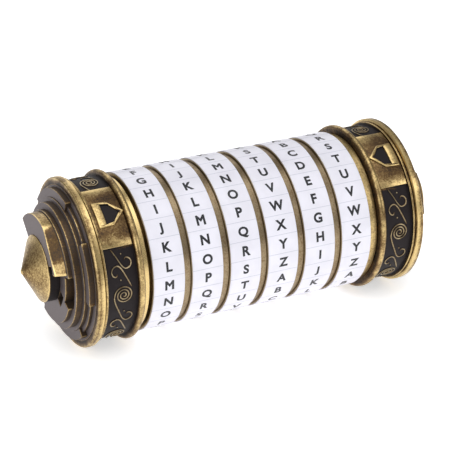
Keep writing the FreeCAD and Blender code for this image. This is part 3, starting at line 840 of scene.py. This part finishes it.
def build_pointer(radius, height):
    """The raised frame of a pointer on the top of the right cap."""
    outer_loop, inner_loop = pointer_outlines(1)
    mesh = bmesh.new()
    loops = []
    for loop in (outer_loop, inner_loop):
        verts = [mesh.verts.new((x, y, -POINTER_SUNK)) for x, y in loop]
        loops.append([mesh.edges.new(pair) for pair in zip(verts, verts[1:] + verts[:1])])
    bmesh.ops.bridge_loops(mesh, edges=loops[0] + loops[1])
    floor = mesh.faces[:]
    grown = bmesh.ops.extrude_face_region(mesh, geom=floor, use_keep_orig=True)["geom"]
    bmesh.ops.translate(mesh, vec=(0, 0, height + POINTER_SUNK), verts=verts_of(grown))
    bmesh.ops.recalc_face_normals(mesh, faces=mesh.faces)
    top = [edge for edge in sharp_edges(mesh) if min(vert.co.z for vert in edge.verts) > height / 2]
    round_edges(mesh, top, POINTER_ROUND, 3)
    cut_in_strips(mesh, STRIP_WIDTH, POINTER_HALF_WIDTH)
    wrap(mesh, radius)
    return mesh


def build_well(radius):
    """The dark hollow inside a pointer."""
    mesh = bmesh.new()
    loop = pointer_outlines(1)[1]
    face = mesh.faces.new([mesh.verts.new((x, y, -WELL_SUNK)) for x, y in loop])
    grown = bmesh.ops.extrude_face_region(mesh, geom=[face], use_keep_orig=True)["geom"]
    bmesh.ops.translate(mesh, vec=(0, 0, WELL_FILM), verts=verts_of(grown))
    bmesh.ops.recalc_face_normals(mesh, faces=mesh.faces)
    cut_in_strips(mesh, STRIP_WIDTH, POINTER_HALF_WIDTH)
    wrap(mesh, radius)
    return mesh


# How bright the parts of a cap are rubbed, and how much duller some of them are; the face beside the letter
# bands is brightened with painted light against the shade of its gap.
FACE_PAINTED_LIGHT = 0.85
BEAD_RUB, BEAD_CREST_RUB = 0.12, 0.26
RIM_RUB, LAND_DULL, FLANK_DULL = 0.34, 0.20, 0.24
BAND_RUB = -0.14
POINTER_RUB = 0.36
PANEL_RUB, PANEL_END_RUB = -0.08, 0.28


def cap_rub_and_light(place, index_angle):
    """How bright a point of a cap is rubbed: its bead and rim, the ends of its panels, its pointers; its
    face beside the bands gets painted light.
    """
    along, off_axis = abs(place.x), radius_of(place)
    if off_axis < BAND_RADIUS - NEAR:
        # Painted light on the face and flange beside the bands, against the shade under the bead.
        return FACE_PAINTED_LIGHT if along < CAP_FACE + NEAR else 0.0
    if along < BEAD_END + HAIR:
        return BEAD_RUB + BEAD_CREST_RUB * eased(off_axis, CAP_CREST - 0.8 * MM, CAP_CREST)
    if along > BAND_END - HAIR:
        land = eased(along, BAND_END + 1.3 * MM, BAND_END + 1.5 * MM)
        land *= 1 - eased(along, END_FACE - 0.9 * MM, END_FACE - 0.6 * MM)
        sunk = 1 - eased(off_axis, BAND_RADIUS + 0.5 * MM, BAND_RADIUS + 0.8 * MM)
        return RIM_RUB - LAND_DULL * land - FLANK_DULL * sunk
    if off_axis < BAND_RADIUS + 0.25 * MM:
        return BAND_RUB
    looks = bpy.context.scene.lock_caps
    if off_axis > BAND_RADIUS + looks.panel_height + NEAR:
        return POINTER_RUB
    off = abs((angle_of(place) - index_angle + 90.0) % 180.0 - 90.0)
    return PANEL_RUB + PANEL_END_RUB * eased(off, 12.0, looks.panel_angle / 2 - 1.0)


def build_cap(side, hand, index_angle):
    """A whole cap with its panels and pointers."""
    looks = bpy.context.scene.lock_caps
    mesh = lathe(softened(cap_outline(hand), 0.12 * MM, 0.25 * MM, least=50.0))
    raise_panels(mesh, looks.panel_angle, looks.panel_height)
    panel_radius = BAND_RADIUS + looks.panel_height
    for centre in (0.0, 180.0):
        pointer = build_pointer(panel_radius, looks.pointer_height)
        well = build_well(panel_radius)
        for face in well.faces:
            face.material_index = 1
        for extra in (pointer, well):
            bmesh.ops.transform(extra, matrix=about_axis(centre), verts=extra.verts)
            add_mesh(mesh, extra)
    to_hand(mesh, hand)
    bmesh.ops.transform(mesh, matrix=about_axis(index_angle), verts=mesh.verts)
    mark_rub_and_light(mesh, lambda place: cap_rub_and_light(place, index_angle))
    metal = aged_brass("cap_brass", patches=0.75, marked=True)
    hollow = aged_brass("hollow_patina", rub_and_light=-0.35, patches=0.3, wear=False)
    return finish_piece(mesh, side + "_cap_casting", body_of(hand), [metal, hollow],
                        [side + "_cap"])


# ---- scrolls: places are (along X from the band's middle, round from the panel's edge), in mm --------
BAND_MIDDLE = (BEAD_END + BAND_END) / 2
SCROLL_PITCH = 43.0            # degrees from one scroll to the next
SPIRAL_CENTRE = (0.3, 14.0)
SPIRAL_RADIUS = 2.75
SPIRAL_TURNS = 2.9
HOOK = ((-2.55, 14.9), (-2.0, 16.9), (-0.7, 20.0), (0.3, 22.2), (1.4, 23.3), (2.7, 22.9), (3.2, 21.7),
        (2.7, 20.6), (1.7, 20.3), (1.2, 21.0))
FIRST_HOOK = ((-2.2, 0.3), (-1.0, 2.6), (0.3, 5.2), (1.4, 6.2), (2.7, 5.8), (3.2, 4.6), (2.7, 3.5),
              (1.7, 3.2), (1.2, 3.9))
CURL = ((-1.3, 7.4), (-1.6, 8.2), (-2.5, 7.9), (-2.9, 6.7), (-2.3, 5.6), (-1.1, 5.2), (0.0, 6.1),
        (1.3, 8.7), (2.7, 11.8))
DOTS = ((0.6, 2.0), (-0.4, 9.3))
DOT_RADIUS = 0.26 * MM


def spiral_points():
    """A spiral wound inwards from its left side over its top."""
    count = int(SPIRAL_TURNS * 18)
    points = []
    for index in range(count + 1):
        share = index / count
        turn = math.pi + share * SPIRAL_TURNS * math.tau
        reach = SPIRAL_RADIUS * (1 - 0.90 * share)
        along, across = SPIRAL_CENTRE
        points.append((along + reach * math.cos(turn), across + reach * math.sin(turn)))
    return points


def band_point(place, edge_angle, hand, radius):
    """A point on the sunk band, from a place in mm."""
    turn = math.radians(edge_angle) + place[1] * MM / BAND_RADIUS
    return Vector((hand * BAND_MIDDLE + place[0] * MM, -radius * math.sin(turn), radius * math.cos(turn)))


def smooth_path(places, spacing=0.3):
    """Places along a smooth curve through the given ones, at about the spacing."""
    path = []
    count = len(places)
    for index in range(count - 1):
        a, b, c, d = (Vector(places[min(max(i, 0), count - 1)]) for i in range(index - 1, index + 3))
        steps = max(1, round((c - b).length / spacing))
        for step in range(steps):
            t = step / steps
            path.append(0.5 * (2 * b + (c - a) * t + (2 * a - 5 * b + 4 * c - d) * t * t
                               + (3 * b - a - 3 * c + d) * t * t * t))
    return path + [Vector(places[-1])]


def wire_mesh(points, radius, taper=0.45):
    """A round wire along the points, thinner at its ends, as a closed mesh."""
    curve = bpy.data.curves.new("wire", "CURVE")
    curve.dimensions = "3D"
    curve.bevel_depth = radius
    curve.bevel_resolution = 1
    curve.use_fill_caps = True
    spline = curve.splines.new("POLY")
    spline.points.add(len(points) - 1)
    for index, (target, point) in enumerate(zip(spline.points, points)):
        target.co = (*point, 1)
        end = min(index, len(points) - 1 - index)
        target.radius = min(1.0, taper + 0.12 * end)
    carrier = bpy.data.objects.new("wire", curve)
    bpy.context.scene.collection.objects.link(carrier)
    graph = bpy.context.evaluated_depsgraph_get()
    data = bpy.data.meshes.new_from_object(carrier.evaluated_get(graph))
    bpy.data.objects.remove(carrier)
    bpy.data.curves.remove(curve)
    return data


def build_scrolls(side, hand, index_angle):
    """The raised scrolls between the panels of a cap."""
    looks = bpy.context.scene.lock_caps
    mesh = bmesh.new()
    wire_level = BAND_RADIUS + 0.25 * looks.wire_radius
    for panel in (0.0, 180.0):
        edge_angle = index_angle + panel + looks.panel_angle / 2
        for number in range(looks.scroll_count):
            here = edge_angle + number * SCROLL_PITCH
            hook = list(HOOK if number < looks.scroll_count - 1 else HOOK[:3])
            strokes = [CURL, spiral_points()[::-1] + hook]
            if number == 0:
                strokes.append(FIRST_HOOK)
            for stroke in strokes:
                points = [band_point(place, here, hand, wire_level) for place in smooth_path(stroke)]
                data = wire_mesh(points, looks.wire_radius)
                mesh.from_mesh(data)
                bpy.data.meshes.remove(data)
            for dot in DOTS:
                made = bmesh.ops.create_icosphere(mesh, subdivisions=2, radius=DOT_RADIUS)["verts"]
                bmesh.ops.translate(mesh, vec=band_point(dot, here, hand, wire_level), verts=made)
    bmesh.ops.remove_doubles(mesh, verts=mesh.verts, dist=WELD)
    bmesh.ops.recalc_face_normals(mesh, faces=mesh.faces)
    metal = aged_brass("scroll_brass", rub_and_light=-0.15, crest=(BAND_RADIUS + 0.05 * MM, BAND_RADIUS + 0.28 * MM),
                       crest_rub=0.85, patches=0.4, wear=False, bright=SCROLL_BRIGHT)
    return finish_piece(mesh, side + "_scrolls", body_of(hand), [metal], wear=False)


# ================================================================================================
# End covers
# ================================================================================================
# Heights above the cap's end face and radii, in mm, from the outside in.
STEPS = ((22.8, 0.0), (20.9, 1.0), (19.6, 2.2), (18.4, 4.2), (16.5, 5.6))
ARC_HEIGHT, ARC_OUTER, ARC_INNER = 1.8, 22.2, 17.1
LEFT_ARCS = ((-54, 15), (51, 99), (138, 189), (231, 264))         # the raised arcs, from and to
RIGHT_ARCS = ((48, 81), (123, 174), (213, 261), (297, 366))
CROWN_HEIGHT, CROWN_OUTER, CROWN_INNER, CROWN_CHANNEL = 8.6, 16.1, 9.8, 12.4
CROWNS = ((-48, 63),)                                             # the raised crown, whole
WALLS = ((63, 75),)                                               # the crown's wall alone
CROWN_FACET, FACET_ANGLE = 13.3, 54.0                             # the crown's flat side
WELL_HEIGHT = 2.8
OUTER_WELLS = ((78, 114), (270, 300))
INNER_WELLS = ((111, 135),)
WELL_RADII = ((13.7, 17.1), (9.8, 12.4))
RIGHT_CROWN_TURN = 243.0
NOTCH_RADIUS, NOTCH_HEIGHT = 15.0, 2.2                            # what the notch leaves of the steps
LEFT_NOTCH, RIGHT_NOTCH = (197, 297), (15, 115)


def within(angle, spans):
    return any((angle - start) % 360.0 < stop - start for start, stop in spans)


def cover_height(radius, angle, arcs, crown_turn, notch):
    """Height of the cover's surface above the cap's end face, in mm, at a radius in mm."""
    height = max([rise for reach, rise in STEPS if radius < reach])
    turned = angle - crown_turn
    if ARC_INNER < radius < ARC_OUTER and within(angle, arcs):
        height = max(height, ARC_HEIGHT)
    if CROWN_INNER < radius < CROWN_OUTER and within(turned, CROWNS):
        height = CROWN_HEIGHT
    if CROWN_CHANNEL < radius < CROWN_OUTER and within(turned, WALLS):
        height = CROWN_HEIGHT
    for spans, (inner, outer) in zip((OUTER_WELLS, INNER_WELLS), WELL_RADII):
        if inner < radius < outer and within(turned, spans):
            height = min(height, WELL_HEIGHT)
    if radius > NOTCH_RADIUS and within(angle, [notch]):
        height = min(height, NOTCH_HEIGHT)
    return height


def soft_least(first, second, blend):
    """The smaller of two sizes, with a soft change from one to the other."""
    share = max(0.0, blend - abs(first - second)) / blend
    return min(first, second) - share * share * blend / 4


def flatten_crown(mesh, crown_turn):
    """Draws the top of the crown's outer wall in to its flat side, so that the wall leans."""
    base, reach = END_FACE + STEPS[-1][1] * MM, CROWN_OUTER * MM
    rise = (CROWN_HEIGHT - STEPS[-1][1]) * MM
    for vert in mesh.verts:
        turn = math.radians(angle_of(vert.co) - crown_turn - FACET_ANGLE)
        off_axis = radius_of(vert.co)
        room = CROWN_FACET * MM / max(0.1, math.cos(turn))
        in_wall = (CROWN_CHANNEL + 0.1) * MM < off_axis < reach + 0.01 * MM
        if vert.co.x > base - 0.01 * MM and in_wall:
            start = CROWN_CHANNEL * MM
            share_up = min(1.0, (vert.co.x - base) / rise)
            limit = reach + (soft_least(reach, room, 0.8 * MM) - reach) * share_up
            share = (off_axis - start) / (reach - start)
            scale = (start + share * (limit - start)) / off_axis
            vert.co = Vector((vert.co.x, vert.co.y * scale, vert.co.z * scale))


# How bright the parts of a cover are rubbed, and how much duller some of them are; round the crown and in
# the channel by the cone this is painted highlight and painted shade.
STEP_RUB, HIGH_STEP_RUB = 0.04, 0.06
# The crown is rubbed and has a painted highlight towards the top, painted shade further round, and a
# painted highlight on its flat side.
CROWN_RUB_AND_HIGHLIGHT, CROWN_PAINTED_SHADE, CROWN_FLAT_HIGHLIGHT = 0.32, 0.28, 0.38
# Painted shade on the floor of the channel between crown and cone.
CHANNEL_PAINTED_SHADE = 0.25


def cover_rub_and_light(place, crown_turn):
    """How bright a point of a cover is rubbed: most on the crown's wall, least on the low floor, with a
    painted highlight and painted shade round the crown and painted shade in the channel.
    """
    high, off_axis = (abs(place.x) - END_FACE) / MM, radius_of(place) / MM
    turned = (angle_of(place) - crown_turn + 180.0) % 360.0 - 180.0
    rub_and_light = STEP_RUB + HIGH_STEP_RUB * eased(high, 0.5, 5.0)
    if high > STEPS[-1][1] + 0.05:
        # Painted highlight on the crown, fading into painted shade from 30 to 48 degrees round, then a
        # painted highlight on the flat side from 54 to 66.
        rub_and_light += CROWN_RUB_AND_HIGHLIGHT - CROWN_PAINTED_SHADE * eased(turned, 30.0, 48.0)
        rub_and_light += CROWN_FLAT_HIGHLIGHT * eased(turned, 54.0, 66.0)
    # Painted shade in the channel round the cone.
    if off_axis < CROWN_CHANNEL + 0.1 and high < STEPS[-1][1] + 0.1:
        rub_and_light -= CHANNEL_PAINTED_SHADE
    return rub_and_light


FLOOR_RADIUS = 9.0             # one more section, inside the crown
SUPPORT = 0.30                 # how far beside a step's edge a section supports it
LEAST_GAP = 0.22               # between two sections
HIGH_STEP, MIDDLE_STEP = 0.9, 0.5
LOW_SUPPORT, TOP_SUPPORT = 0.25, 0.45


def build_cover(side, hand, arcs, crown_turn, notch):
    """The stepped cover: a disc whose parts are pushed out one level after another."""
    radii = {CROWN_INNER, CROWN_CHANNEL, CROWN_OUTER, ARC_INNER, ARC_OUTER, WELL_RADII[0][0], NOTCH_RADIUS}
    radii = sorted(radii | {reach for reach, _ in STEPS})
    fine = set(radii) | {FLOOR_RADIUS}
    for reach in radii:
        for offset in (-SUPPORT, SUPPORT):
            near = min(abs(reach + offset - other) for other in radii)
            if near > LEAST_GAP and reach + offset < radii[-1]:
                fine.add(reach + offset)
    seat = -COVER_SEAT / MM
    mesh = lathe([(END_FACE + seat * MM, reach * MM) for reach in sorted(fine)], closed=False)
    levels = sorted({0.0, WELL_HEIGHT, ARC_HEIGHT, CROWN_HEIGHT} | {rise for _, rise in STEPS})
    for low, high in list(zip(levels, levels[1:])):
        if high - low > HIGH_STEP:
            levels += [low + LOW_SUPPORT, high - TOP_SUPPORT]
        elif high - low > MIDDLE_STEP:
            levels.append((low + high) / 2)
    levels.sort()
    level_layer = mesh.faces.layers.float.new("level")
    for face in mesh.faces:
        middle = face.calc_center_median()
        face[level_layer] = cover_height(radius_of(middle) / MM, angle_of(middle), arcs, crown_turn, notch)
    below = seat
    top = mesh.faces[:]
    for number, level in enumerate(levels):
        chosen = [face for face in top if face[level_layer] >= level - 1e-6]
        grown = bmesh.ops.extrude_face_region(mesh, geom=chosen, use_keep_orig=number == 0)["geom"]
        if number:
            bmesh.ops.delete(mesh, geom=[face for face in chosen if face.is_valid], context="FACES_ONLY")
        bmesh.ops.translate(mesh, vec=((level - below) * MM, 0, 0), verts=verts_of(grown))
        top = faces_of(grown)
        below = level
    bmesh.ops.remove_doubles(mesh, verts=mesh.verts, dist=WELD)
    flatten_crown(mesh, crown_turn)
    bmesh.ops.recalc_face_normals(mesh, faces=mesh.faces)
    round_edges(mesh, [edge for edge in sharp_edges(mesh) if edge.calc_face_angle_signed() > 0],
                COVER_ROUND)
    to_hand(mesh, hand)
    mark_rub_and_light(mesh, lambda place: cover_rub_and_light(place, crown_turn))
    # Painted shade on the cover's faces square to the axis.
    metal = aged_brass("cover_brass", patches=0.6, paint_face_shade=True, marked=True, wear_gain=1.2)
    return finish_piece(mesh, side + "_stepped_cover", body_of(hand), [metal],
                        [side + "_tier_cover"])


def build_cone(side, hand):
    """The cone on its straight wall, with a rounded tip."""
    base = END_FACE + STEPS[-1][1] * MM
    wall = END_FACE + 8.9 * MM
    foot, shoulder = (CONE_TIP - 0.45 * MM, 1.0 * MM), (CONE_TIP - 0.12 * MM, 0.55 * MM)
    tip_round = half_round(foot, shoulder, (CONE_TIP, 0.0), 6)
    spigot = 4.0 * MM
    outline = softened([(CONE_START, 0.0), (CONE_START, spigot), (base, spigot), (base, CONE_RADIUS),
                        (wall, CONE_RADIUS), tip_round[0]], 0.16 * MM, 0.35 * MM, closed=False)
    mesh = lathe(outline + tip_round[1:], closed=False)
    to_hand(mesh, hand)
    # Painted shade: the cone's straight wall, down in the crown's channel, is darkened by 0.60.
    mark_rub_and_light(mesh, lambda place: -0.60 * (1 - eased(abs(place.x), wall - 0.35 * MM, wall - 0.05 * MM)))
    metal = aged_brass("cone_brass", rub_and_light=0.54, patches=0.38, wear_gain=0.7, marked=True)
    return finish_piece(mesh, side + "_cone_finial", body_of(hand), [metal],
                        [side + "_cone"])


# ================================================================================================
# Operators
# ================================================================================================
class LOCK_OT_bands(bpy.types.Operator):
    """Builds the white letter bands"""
    bl_idname = "lock.bands"
    bl_label = "Letter bands"

    def execute(self, context):
        for number in range(1, DIAL_COUNT + 1):
            build_label(number)
        return {"FINISHED"}


class LOCK_OT_letters(bpy.types.Operator):
    """Prints the letters and the lines between them on every band"""
    bl_idname = "lock.letters"
    bl_label = "Letters"

    def execute(self, context):
        looks = context.scene.lock_dials
        drawn = {chr(FIRST_LETTER + index): glyph(chr(FIRST_LETTER + index), looks.letter_weight)
                 for index in range(LETTER_COUNT)}
        foot, cap = span_of(drawn["H"].vertices, 1)
        glyphs = {}
        for character, data in drawn.items():
            mesh = sliced(data, foot, cap, looks.letter_height, looks.letter_width, looks.ink_thickness)
            glyphs[character] = bpy.data.meshes.new("glyph_" + character)
            mesh.to_mesh(glyphs[character])
            mesh.free()
        for number in range(1, DIAL_COUNT + 1):
            build_letters(number, glyphs, looks.letter_height)
        for data in list(drawn.values()) + list(glyphs.values()):
            bpy.data.meshes.remove(data)
        return {"FINISHED"}


class LOCK_OT_rings(bpy.types.Operator):
    """Builds the metal rings under the letter bands"""
    bl_idname = "lock.rings"
    bl_label = "Dial rings"

    def execute(self, context):
        for number in range(1, DIAL_COUNT + 1):
            build_rim_ring(number)
        return {"FINISHED"}


class LOCK_OT_caps(bpy.types.Operator):
    """Builds the two caps with their panels and pointers"""
    bl_idname = "lock.caps"
    bl_label = "Caps"

    def execute(self, context):
        looks = context.scene.lock_caps
        build_cap("left", -1, looks.left_index)
        build_cap("right", 1, looks.right_index)
        return {"FINISHED"}


class LOCK_OT_scrolls(bpy.types.Operator):
    """Lays the raised scrolls on the caps"""
    bl_idname = "lock.scrolls"
    bl_label = "Scrolls"

    def execute(self, context):
        looks = context.scene.lock_caps
        build_scrolls("left", -1, looks.left_index)
        build_scrolls("right", 1, looks.right_index)
        return {"FINISHED"}


class LOCK_OT_covers(bpy.types.Operator):
    """Builds the stepped end covers and their cones"""
    bl_idname = "lock.covers"
    bl_label = "End covers and cones"

    def execute(self, context):
        build_cover("left", -1, LEFT_ARCS, 0.0, LEFT_NOTCH)
        build_cover("right", 1, RIGHT_ARCS, RIGHT_CROWN_TURN, RIGHT_NOTCH)
        for side, hand in (("left", -1), ("right", 1)):
            build_cone(side, hand)
        return {"FINISHED"}


class LOCK_OT_inner_parts(bpy.types.Operator):
    """Gives the parts inside their finishes"""
    bl_idname = "lock.inner_parts"
    bl_label = "Finishes of the inner parts"

    def execute(self, context):
        turned = turned_metal("turned_brass", TURNED_BRASS)
        steel = turned_metal("plain_steel", PLAIN_STEEL, 0.32)
        finishes = {"lock_pins": steel, "washer_clip": steel, "canister_screws": steel,
                    "left_cover_screws": steel, "right_cover_screws": steel}
        for name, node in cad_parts.items():
            material = finishes.get(name, turned)
            if name.startswith("spacer_"):
                material = ring_brass()
            # Painted light: the end collar is brightened against the shade of its gap.
            if name == "end_collar":
                material = aged_brass("collar_brass", rub_and_light=RING_RUB_AND_LIGHT, patches=RING_PATCHES, wear=False)
            node.data.materials.clear()
            node.data.materials.append(material)
        return {"FINISHED"}


class LOCK_OT_stage(bpy.types.Operator):
    """Sets up the floor, the lights and the camera"""
    bl_idname = "lock.stage"
    bl_label = "Stage"

    def execute(self, context):
        looks = context.scene.lock_stage
        build_floor()
        build_room(looks.room_light)
        for name, place, size, power in LAMPS:
            build_lamp(name, Vector(place), size, power * looks.soft_light)
        build_camera(looks)
        context.scene.view_settings.view_transform = "Standard"
        return {"FINISHED"}


# name, place, size and power: a soft box overhead, one at each side and one behind
LAMPS = (("overhead_lamp", (-0.05, -0.15, 0.75), 0.8, 9.0),
         ("left_lamp", (-0.75, -0.45, 0.35), 0.6, 6.0),
         ("right_lamp", (0.65, -0.60, 0.40), 0.5, 4.0),
         ("back_lamp", (0.10, 0.80, 0.50), 0.7, 4.0))
FLOOR_SIZE = 8.0


def build_floor():
    mesh = bmesh.new()
    bmesh.ops.create_grid(mesh, x_segments=1, y_segments=1, size=FLOOR_SIZE / 2)
    bmesh.ops.translate(mesh, vec=(0, 0, FLOOR_LEVEL), verts=mesh.verts)
    data = bpy.data.meshes.new("studio_floor")
    mesh.to_mesh(data)
    mesh.free()
    paper = (0.93, 0.93, 0.93)
    material, _, shader = new_material("studio_paper", metallic=0.0, roughness=0.9, colour=paper)
    shader.inputs["Emission Color"].default_value = (1, 1, 1, 1)
    shader.inputs["Emission Strength"].default_value = 0.55
    data.materials.append(material)
    floor = bpy.data.objects.new("studio_floor", data)
    bpy.context.scene.collection.objects.link(floor)


def build_room(strength):
    world = bpy.data.worlds.new("studio_room")
    world.use_nodes = True
    world.node_tree.nodes["Background"].inputs[0].default_value = (1.0, 1.0, 1.0, 1)
    world.node_tree.nodes["Background"].inputs[1].default_value = strength
    bpy.context.scene.world = world


def build_lamp(name, place, size, power):
    data = bpy.data.lights.new(name, "AREA")
    data.shape = "SQUARE"
    data.size = size
    data.energy = power
    lamp = bpy.data.objects.new(name, data)
    lamp.location = place
    lamp.rotation_euler = (-place).to_track_quat("-Z", "Y").to_euler()
    bpy.context.scene.collection.objects.link(lamp)


def build_camera(looks):
    turn, rise = math.radians(looks.azimuth), math.radians(looks.elevation)
    right = Vector((math.cos(turn), math.sin(turn), 0))
    back = Vector((math.sin(turn) * math.cos(rise), -math.cos(turn) * math.cos(rise), math.sin(rise)))
    up = back.cross(right)
    data = bpy.data.cameras.new("camera")
    data.lens = looks.lens
    data.clip_start = 0.01
    camera = bpy.data.objects.new("camera", data)
    place = back * looks.distance - right * looks.aside + up * looks.above
    camera.matrix_world = Matrix.Translation(place) @ Matrix((right, up, back)).transposed().to_4x4()
    bpy.context.scene.collection.objects.link(camera)
    bpy.context.scene.camera = camera


class LOCK_PT_panel(bpy.types.Panel):
    """Lists the steps that build the letter lock"""
    bl_label = "Letter Lock"
    bl_idname = "LOCK_PT_panel"
    bl_space_type = "VIEW_3D"
    bl_region_type = "UI"
    bl_category = "Letter Lock"

    def draw(self, context):
        for operator in OPERATORS:
            self.layout.operator(operator.bl_idname)
        for holder in SETTINGS:
            settings = getattr(context.scene, holder)
            box = self.layout.box()
            for name in settings.__annotations__:
                box.prop(settings, name)


OPERATORS = (LOCK_OT_stage, LOCK_OT_bands, LOCK_OT_letters, LOCK_OT_rings, LOCK_OT_caps, LOCK_OT_scrolls,
             LOCK_OT_covers, LOCK_OT_inner_parts)
SETTINGS = {"lock_dials": DialSettings, "lock_caps": CapSettings, "lock_finish": FinishSettings,
            "lock_stage": StageSettings}


def register():
    for holder, group in SETTINGS.items():
        bpy.utils.register_class(group)
        setattr(bpy.types.Scene, holder, PointerProperty(type=group))
    for item in OPERATORS + (LOCK_PT_panel,):
        bpy.utils.register_class(item)


def unregister():
    for item in reversed(OPERATORS + (LOCK_PT_panel,)):
        bpy.utils.unregister_class(item)
    for holder, group in SETTINGS.items():
        delattr(bpy.types.Scene, holder)
        bpy.utils.unregister_class(group)


def main():
    """Builds everything, one operator after another."""
    register()
    bpy.ops.lock.stage()
    bpy.ops.lock.bands()
    bpy.ops.lock.letters()
    bpy.ops.lock.rings()
    bpy.ops.lock.caps()
    bpy.ops.lock.scrolls()
    bpy.ops.lock.covers()
    bpy.ops.lock.inner_parts()


if __name__ == "__main__":
    main()
